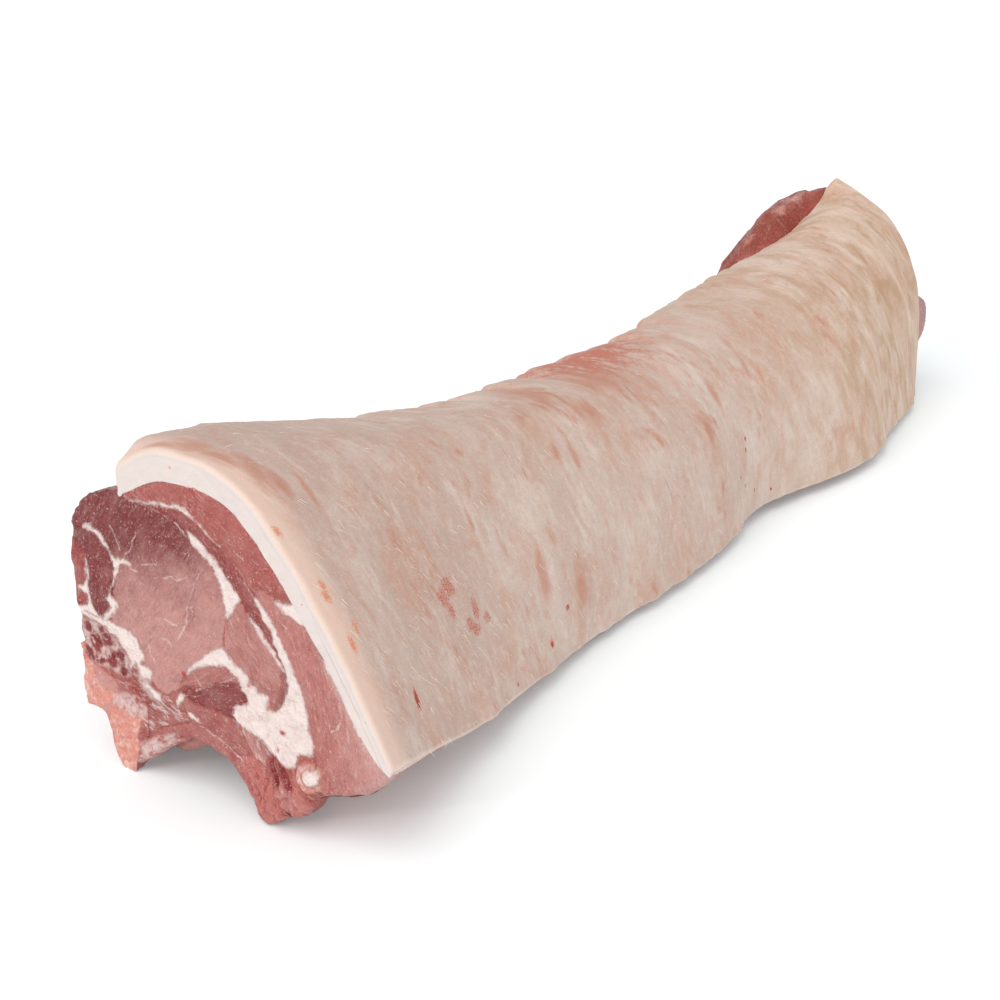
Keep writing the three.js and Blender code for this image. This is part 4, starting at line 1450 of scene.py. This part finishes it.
def noise_value(tree, vector, scale, detail=3.0, roughness=0.55, distortion=0.0):
    node = add_node(tree, "ShaderNodeTexNoise", {
        "Vector": vector, "Scale": scale, "Detail": detail, "Roughness": roughness,
        "Distortion": distortion})
    return node.outputs["Fac"]


def stretched(tree, vector, across, along, turn=0.0):
    """Coordinates turned, then counted in so many steps a unit on each axis."""
    return made(tree, "ShaderNodeMapping", {
        "Vector": vector, "Scale": (1 / across, 1 / along, 1.0), "Rotation": (0.0, 0.0, turn),
    }, vector_type="TEXTURE")


def on_body(tree):
    return add_node(tree, "ShaderNodeTexCoord").outputs["Object"]


def part_between(tree, value, low, high, share):
    """0 below low, share above high."""
    return math_node(tree, "MULTIPLY", step_between(tree, value, low, high), share)


def swing(tree, value, noise, reach, clamp=False):
    """A value moved up and down by a noise."""
    level = math_node(tree, "SUBTRACT", noise, 0.5)
    return math_node(tree, "MULTIPLY_ADD", level, reach, value, clamp=clamp)


def node_makers(tree):
    """What finishes use most, for one tree."""
    times = partial(math_node, tree, "MULTIPLY")
    times_plus = partial(math_node, tree, "MULTIPLY_ADD")
    makers = (colour_mix, step_between, part_between, swing, mark_value, noise_value)
    return times, times_plus, *(partial(maker, tree) for maker in makers)


def new_group(name, inputs, outputs):
    tree = bpy.data.node_groups.new(name, "ShaderNodeTree")
    for label, kind, value in inputs:
        tree.interface.new_socket(label, in_out="INPUT", socket_type=kind).default_value = value
    for label, kind in outputs:
        tree.interface.new_socket(label, in_out="OUTPUT", socket_type=kind)
    return tree, add_node(tree, "NodeGroupInput").outputs


def moist_grain():
    """Fine unevenness of a moist surface: a tint, a height and where it is drier."""
    name = "moist grain"
    if name in bpy.data.node_groups:
        return bpy.data.node_groups[name]
    number = "NodeSocketFloat"
    tree, given = new_group(
        name,
        [("Coarse", number, 60.0), ("Fine", number, 900.0)],
        [("Tint", number), ("Height", number), ("Dryness", number)],
    )
    at = on_body(tree)
    coarse = noise_value(tree, at, given["Coarse"], 4.0, 0.6)
    fine = noise_value(tree, at, given["Fine"], 3.0, 0.6)
    height = math_node(tree, "MULTIPLY_ADD", coarse, 0.4, fine)
    dry = math_node(tree, "MULTIPLY_ADD", fine, 0.5, math_node(tree, "MULTIPLY", coarse, 0.5))
    add_node(tree, "NodeGroupOutput", {"Tint": coarse, "Height": height, "Dryness": dry})
    return tree


PALE_LEAN = srgb(197, 139, 131)
DARK_LEAN = srgb(118, 24, 26)
WARM_LEAN = srgb(186, 68, 54)
DRIED_LEAN = srgb(139, 54, 26)
SEAM_WHITE = srgb(236, 218, 212)
BONE_PEACH = srgb(212, 143, 127)
MARROW_RED = srgb(132, 38, 36)
BLOOD_RED = srgb(178, 44, 38)
MEMBRANE_PINK = srgb(130, 68, 60)
MEMBRANE_PALE = srgb(162, 100, 90)


def cut_tissue():
    """Colour and height of cut lean, fat and bone from the marks that a piece carries."""
    name = "cut tissue"
    if name in bpy.data.node_groups:
        return bpy.data.node_groups[name]
    number, colour = "NodeSocketFloat", "NodeSocketColor"
    colours = {
        "Pale Lean": PALE_LEAN, "Dark Lean": DARK_LEAN, "Warm Lean": WARM_LEAN, "Dried Lean": DRIED_LEAN,
        "Fat": SEAM_WHITE, "Bone": BONE_PEACH, "Marrow": MARROW_RED,
    }
    # The last input sets how many pale specks show on the lean, partly marbling and partly painted glints
    tree, given = new_group(
        name,
        [*((label, colour, value) for label, value in colours.items()), ("Marbling", number, 0.5)],
        [("Color", colour), ("Height", number)],
    )
    times, times_plus, blend, between, part, swung, marked, noise_at = node_makers(tree)
    pale_lean, dark_lean, warm_lean, dried_lean, white, bone, marrow = (given[label] for label in colours)
    at = on_body(tree)
    lie = add_node(tree, "ShaderNodeAttribute", attribute_name="fibre").outputs["Vector"]
    ragged = noise_at(at, 330.0, 6.0, 0.7)
    mottle = noise_at(at, 110.0, 5.0, 0.62)
    cloud = noise_at(at, 48.0, 3.0, 0.55)
    flecks = noise_at(at, 950.0, 2.0, 0.6)
    wide = noise_at(at, 200.0, 5.0, 0.66, 0.6)
    islands = noise_at(at, 170.0, 4.0, 0.62)
    bundle = noise_at(lie, 0.8, 4.0, 0.62, 0.6)
    strand = noise_at(lie, 0.24, 5.0, 0.6, 0.8)
    coarse = noise_at(lie, 0.36, 5.0, 0.66, 1.2)
    groove = marked("groove")
    sinew = marked("sinew")
    dark = marked("dark")

    def edge(mark, softness, raggedness, feather=0.0):
        moved = swung(swung(marked(mark), ragged, raggedness), bundle, feather)
        return between(moved, -softness, softness)

    def veins(vector, scale, width, where, share):
        """Thin winding lines that come and go."""
        winding = noise_at(vector, scale, 3.0, 0.55, 0.7)
        off = math_node(tree, "ABSOLUTE", math_node(tree, "SUBTRACT", winding, 0.5))
        return times(between(off, width, 0.0), part(where, 0.46, 0.6, share))

    # Lean: its shade, then fibres, grooves, pale specks that are partly marbling and partly painted glints,
    # clusters of painted white glints, and threads of fat
    shade = swung(swung(swung(dark, mottle, 1.05), cloud, 0.7), strand, 0.7, clamp=True)
    lean = blend(shade, pale_lean, dark_lean)
    warmth = swung(marked("warm"), cloud, 0.5)
    lean = blend(times(warmth, 0.8, clamp=True), lean, warm_lean)
    lean = blend(part(swung(marked("dried"), strand, 0.5), 0.1, 1.0, 0.85), lean, dried_lean)
    fibrous = times_plus(sinew, 0.4, 0.16)
    lean = blend(part(bundle, 0.5, 0.28, fibrous), lean, dark_lean)
    lean = blend(part(groove, 0.3, 1.0, 0.5), lean, warm_lean)
    # Pale specks, more where the lean is dark: partly marbling, partly painted glints
    specks_and_glints = times(given["Marbling"], times_plus(dark, 0.6, 0.36))
    specks_and_glints = times(specks_and_glints, times_plus(between(mottle, 0.4, 0.6), 0.7, 0.3))
    lean = blend(part(flecks, 0.57, 0.69, specks_and_glints), lean, pale_lean)
    # Clusters of painted white glints, where the wide noise is high
    lean = blend(part(flecks, 0.61, 0.7, part(wide, 0.44, 0.62, 0.5)), lean, white)
    sinewy = times_plus(math_node(tree, "SUBTRACT", coarse, bundle), sinew, bundle)
    sinewy = swung(times_plus(sinew, 0.07, sinewy), strand, 0.3)
    pale = part(sinewy, 0.55, 0.74, times_plus(sinew, 0.6, 0.14))
    for more in (
        veins(lie, 0.14, 0.02, cloud, 0.16),
        times(part(marked("thread"), 0.1, 1.0, 0.6), between(wide, 0.32, 0.54)),
        times(part(groove, 0.72, 1.0, 0.5), between(mottle, 0.42, 0.6)),
    ):
        pale = math_node(tree, "MAXIMUM", pale, more)
    lean = blend(pale, lean, white)

    # Fat between the muscles, sawn bone with its marrow, and blood
    fat = blend(part(wide, 0.5, 0.75, 0.4), white, pale_lean)
    fat = blend(part(marked("lean"), -0.6, 0.2, 0.4), fat, pale_lean)
    fat = blend(veins(at, 150.0, 0.04, mottle, 0.4), fat, pale_lean)
    lean_mask = edge("lean", 0.34, 1.4, 1.3)
    surface = blend(lean_mask, fat, lean)
    spongy = blend(part(wide, 0.46, 0.68, 0.6), bone, white)
    spongy = blend(part(flecks, 0.5, 0.36, 0.3), spongy, warm_lean)
    surface = blend(edge("bone", 0.5, 1.4), surface, spongy)
    clots = blend(part(mottle, 0.6, 0.44, 0.6), marrow, dark_lean)
    clots = blend(part(islands, 0.46, 0.36, 0.8), clots, blend(0.2, fat, pale_lean))
    surface = blend(edge("marrow", 0.5, 2.4), surface, clots)
    surface = blend(edge("blood", 0.4, 1.4), surface, BLOOD_RED)

    rows = times_plus(times(bundle, times(lean_mask, between(groove, 0.9, 0.3))), 1.0, ragged)
    height = times_plus(flecks, 0.6, rows)
    add_node(tree, "NodeGroupOutput", {"Color": surface, "Height": height})
    return tree


def bumped(tree, shader, height, strength, distance):
    bump = made(tree, "ShaderNodeBump", {"Height": height, "Strength": strength, "Distance": distance})
    tree.links.new(bump, shader.inputs["Normal"])


def group_node(tree, group, **values):
    node = add_node(tree, "ShaderNodeGroup", node_tree=group)
    for key, value in values.items():
        node.inputs[key.replace("_", " ")].default_value = value
    return node.outputs


def tissue_finish(name, marbling_and_glints, rough, relief, **settings):
    """A material for cut meat or bone, on the marks of its piece."""
    material, tree, shader = new_finish(name, **settings)
    tissue = group_node(tree, cut_tissue(), Marbling=marbling_and_glints)
    grain = group_node(tree, moist_grain(), Coarse=120.0, Fine=1300.0)
    tree.links.new(tissue["Color"], shader.inputs["Base Color"])
    wet = math_node(tree, "MULTIPLY_ADD", grain["Dryness"], 0.35, rough)
    tree.links.new(wet, shader.inputs["Roughness"])
    height = math_node(tree, "ADD", tissue["Height"], grain["Height"])
    bumped(tree, shader, height, relief, 0.0008)
    return material


def lean_finish():
    return tissue_finish("raw lean", 0.75, 0.07, 1.0, Specular_IOR_Level=0.5, Subsurface_Weight=0.05,
                         Subsurface_Scale=0.003)


def bone_finish():
    return tissue_finish("sawn bone", 0.2, 0.3, 0.7, Specular_IOR_Level=0.4)


def membrane_finish():
    """Ribs under their thin shiny skin."""
    material, tree, shader = new_finish("rib membrane", Specular_IOR_Level=0.45)
    grain = group_node(tree, moist_grain(), Coarse=110.0, Fine=900.0)
    pale = step_between(tree, grain["Tint"], 0.4, 0.68)
    colour = colour_mix(tree, pale, MEMBRANE_PINK, MEMBRANE_PALE)
    red = step_between(tree, grain["Tint"], 0.44, 0.3)
    tree.links.new(colour_mix(tree, red, colour, MARROW_RED), shader.inputs["Base Color"])
    wet = math_node(tree, "MULTIPLY_ADD", grain["Dryness"], 0.3, 0.25)
    tree.links.new(wet, shader.inputs["Roughness"])
    bumped(tree, shader, grain["Height"], 0.4, 0.0006)
    return material


SKIN_MIDDLE = srgb(190, 167, 153)
SKIN_NEAR = srgb(184, 156, 143)
SKIN_FAR = srgb(196, 166, 139)
SKIN_PALE = srgb(214, 199, 189)
SKIN_BLUSH = srgb(190, 146, 126)
SKIN_RUST = srgb(182, 116, 90)
SKIN_TAN = srgb(174, 138, 104)
SKIN_RUDDY = srgb(182, 80, 50)
SKIN_PEACH = srgb(229, 197, 181)
SKIN_CREAM = srgb(222, 204, 189)
RIM_ORANGE = srgb(212, 148, 102)
FAT_WHITE = srgb(212, 199, 194)
RIND_LINE = srgb(186, 170, 162)
SCAB_PINK = srgb(196, 112, 92)
SCAB_RED = srgb(132, 36, 28)
DOT_RED = srgb(160, 44, 32)
FLECK_ORANGE = srgb(210, 116, 60)
STREAK_SLANT = -0.22
RIND_LINE_DEPTH = 5.4  # mm below the skin


def rind_finish():
    """Scalded pig skin with streaks around the loin, and the cut fat below it."""
    material, tree, shader = new_finish("scalded rind", Specular_IOR_Level=0.35, Subsurface_Weight=0.08,
                                        Subsurface_Scale=0.004)
    times, times_plus, blend, between, part, swung, marked, noise_at = node_makers(tree)
    flow = made(tree, "ShaderNodeUVMap", uv_map="flow")
    at = on_body(tree)
    grain = group_node(tree, moist_grain(), Coarse=38.0, Fine=1100.0)

    def streaks(steps_across, steps_along, detail, distortion):
        slanted = stretched(tree, flow, steps_across, steps_along, STREAK_SLANT)
        return noise_at(slanted, 1.0, detail, 0.64, distortion)

    def spot(mark, noise, low, high, raggedness):
        return between(swung(marked(mark), noise, raggedness), low, high)

    def layered(colour, layers):
        for pattern, low, high, share, over in layers:
            colour = blend(part(pattern, low, high, share), colour, over)
        return colour

    cloud = streaks(1.6, 1.0, 6.0, 0.3)
    veil = streaks(8.0, 2.6, 7.0, 0.6)
    blush = streaks(3.6, 2.4, 8.0, 0.8)
    thin = streaks(26.0, 10.0, 6.0, 0.4)
    rusty = streaks(15.0, 5.5, 7.0, 0.5)
    patchy = streaks(3.0, 2.2, 4.0, 0.5)
    olive = streaks(7.0, 3.6, 8.0, 0.4)
    cream = streaks(8.0, 1.5, 5.0, 0.4)
    wrinkle = streaks(60.0, 16.0, 4.0, 0.4)
    crumbs = noise_at(flow, 26.0, 8.0, 0.74)
    pores = noise_at(flow, 110.0, 3.0, 0.65)
    broken = noise_at(flow, 70.0, 4.0, 0.65)
    speckle = noise_at(flow, 130.0, 2.0, 0.6)
    along = add_node(tree, "ShaderNodeSeparateXYZ", {0: flow}).outputs["X"]
    across = marked("across")
    far = between(along, 3.6, 6.2)

    # Layers of the skin: pattern, where it starts, where it is full, how strong, colour
    skin = blend(between(along, 2.2, 0.4), SKIN_MIDDLE, SKIN_NEAR)
    skin = layered(blend(far, skin, SKIN_FAR), [
        (cloud, 0.42, 0.66, 0.5, SKIN_PALE),
        (veil, 0.48, 0.7, 0.58, SKIN_PALE),
        (blush, 0.47, 0.66, 0.66, SKIN_BLUSH),
        (thin, 0.5, 0.74, 0.3, SKIN_PALE),
        (thin, 0.5, 0.28, 0.36, SKIN_BLUSH),
        (crumbs, 0.5, 0.68, 0.36, SKIN_PALE),
        (crumbs, 0.5, 0.32, 0.36, SKIN_BLUSH),
        (rusty, 0.46, 0.72, part(patchy, 0.46, 0.64, 0.85), SKIN_RUST),
        (olive, 0.44, 0.66, times(far, 0.85), SKIN_TAN),
        (cream, 0.5, 0.74, times(far, 0.6), SKIN_CREAM),
    ])
    patches = times_plus(between(rusty, 0.36, 0.6), 0.55, 0.2)
    patches = math_node(tree, "ADD", patches, part(crumbs, 0.42, 0.58, 0.45))
    skin = layered(skin, [
        (times(marked("ruddy"), patches), 0.1, 1.0, 0.82, SKIN_RUDDY),
        (pores, 0.5, 0.72, 0.32, SKIN_PALE),
        (pores, 0.5, 0.3, 0.32, SKIN_BLUSH),
        (along, 0.24, 0.06, 0.75, SKIN_PEACH),
        (along, 0.05, 0.0, 0.5, SKIN_CREAM),
        (spot("blotch", rusty, -0.8, 1.2, 2.6), 0.0, 1.0, 0.66, SKIN_RUST),
        (spot("fleck", speckle, -0.3, 0.9, 3.2), 0.0, 1.0, 0.8, FLECK_ORANGE),
        (spot("scab", broken, -0.3, 0.6, 2.0), 0.0, 1.0, 0.6, SCAB_PINK),
        (speckle, 0.52, 0.6, times(spot("scab", broken, -0.1, 0.3, 2.0), 0.9), SCAB_RED),
    ])
    skin = blend(spot("dot", broken, 0.0, 0.5, 1.2), skin, DOT_RED)
    skin = layered(skin, [
        (across, 0.05, 0.0, times(far, 0.6), RIM_ORANGE),
        (across, 0.985, 1.0, 0.7, SKIN_CREAM),
    ])

    # Cut fat, with a darker line under the rind that comes and goes low on the cut
    depth = marked("depth")
    height_up = add_node(tree, "ShaderNodeSeparateXYZ", {0: at}).outputs["Z"]
    from_line = math_node(tree, "ABSOLUTE", math_node(tree, "SUBTRACT", depth, RIND_LINE_DEPTH))
    low_down = times(part(height_up, 0.108, 0.09, 0.7), between(noise_at(at, 22.0, 2.0, 0.5), 0.36, 0.52))
    fat = layered(FAT_WHITE, [
        (grain["Tint"], 0.4, 0.75, 0.3, SKIN_CREAM),
        (from_line, 0.55, 0.1, low_down, RIND_LINE),
        (spot("fat_spot", broken, 0.0, 0.5, 1.0), 0.0, 1.0, 0.7, FLECK_ORANGE),
    ])
    tree.links.new(blend(between(depth, 0.6, 2.4), skin, fat), shader.inputs["Base Color"])
    tree.links.new(times_plus(grain["Dryness"], 0.3, 0.34), shader.inputs["Roughness"])
    height = times_plus(pores, 0.8, times_plus(wrinkle, 0.8, grain["Height"]))
    bumped(tree, shader, height, 0.4, 0.0006)
    return material


BRISTLE_PALE = srgb(240, 228, 214)
BRISTLE_HORN = srgb(222, 202, 182)
FLOOR_WHITE = srgb(250, 250, 250)
FLOOR_GREY = srgb(246, 246, 247)


def bristle_finish():
    """Pale horn, a little uneven."""
    material, tree, shader = new_finish("pale bristle", Specular_IOR_Level=0.5)
    mottle = noise_value(tree, on_body(tree), 120.0, 2.0)
    tree.links.new(colour_mix(tree, mottle, BRISTLE_PALE, BRISTLE_HORN), shader.inputs["Base Color"])
    rough = math_node(tree, "MULTIPLY_ADD", mottle, 0.3, 0.25)
    tree.links.new(rough, shader.inputs["Roughness"])
    return material


def floor_finish():
    material, tree, shader = new_finish("pale floor", Specular_IOR_Level=0.2, Emission_Color=FLOOR_GLOW,
                                        Emission_Strength=FLOOR_GLOW_STRENGTH)
    cloud = noise_value(tree, on_body(tree), 3.0, 2.0)
    tree.links.new(colour_mix(tree, cloud, FLOOR_WHITE, FLOOR_GREY), shader.inputs["Base Color"])
    tree.links.new(math_node(tree, "MULTIPLY_ADD", cloud, 0.1, 0.75), shader.inputs["Roughness"])
    return material


# Stage, light and camera

FLOOR_HALF = 6.0
FLOOR_GLOW = (0.3, 1.0, 1.0, 1.0)
FLOOR_GLOW_STRENGTH = 0.06
SKY_STRENGTH = 0.63
LAMPS = [
    # name, where it stands seen from the loin, apparent width in degrees, strength, casts shadows
    ("key", (-0.55, 0.0, 0.8), 50, 1.36, True),
    ("fill", (-0.2, -0.75, 0.5), 60, 0.75, False),
    ("glint", (-0.82, 0.5, 0.2), 5, 0.6, True),
]


def floor():
    mesh = bpy.data.meshes.new("floor")
    reach = FLOOR_HALF
    mesh.from_pydata([(-reach, -reach, 0), (reach, -reach, 0), (reach, reach, 0), (-reach, reach, 0)], [],
                     [(0, 1, 2, 3)])
    mesh.materials.append(floor_finish())
    board = add_object("floor", mesh)


def light():
    scene = bpy.context.scene
    scene.world = bpy.data.worlds.new("studio")
    scene.world.use_nodes = True
    sky = scene.world.node_tree.nodes["Background"]
    sky.inputs["Color"].default_value = (1, 1, 1, 1)
    sky.inputs["Strength"].default_value = SKY_STRENGTH
    for name, where, width, strength, shadows in LAMPS:
        lamp = bpy.data.lights.new(name, "SUN")
        lamp.angle = math.radians(width)
        lamp.energy = strength
        lamp.use_shadow = shadows
        holder = add_object(name, lamp)
        holder.location = where
        holder.rotation_euler = Vector(where).to_track_quat("Z", "Y").to_euler()
    scene.view_settings.view_transform = "Standard"


def camera():
    lens = bpy.data.cameras.new("camera")
    lens.sensor_width = SENSOR_MM
    lens.lens = FOCAL_PX / PHOTO_WIDTH_PX * SENSOR_MM
    lens.clip_start = 0.01
    eye = add_object("camera", lens)
    turn, rise = CAMERA_TURN, CAMERA_RISE
    right = Vector((math.cos(turn), math.sin(turn), 0))
    back = Vector((math.sin(turn) * math.cos(rise), -math.cos(turn) * math.cos(rise), math.sin(rise)))
    look = Matrix((right, back.cross(right), back)).transposed().to_4x4()
    eye.matrix_world = Matrix.Translation(place(CAMERA_PLACE)) @ look
    bpy.context.scene.camera = eye


camera()
light()
floor()
rind, rind_loft, rind_outer = rind_and_fat()
settle(rind, "rind", "back_fat")
settle(bristles(rind, rind_loft, rind_outer), "rind")
settle(meat(), "lean", "cap_lean", "seam_fat", "loin_lean")
settle(backbone(), "bone", "backbone")
settle(ribs(), "bone", *[f"rib_{i + 1}" for i in range(RIB_COUNT)])
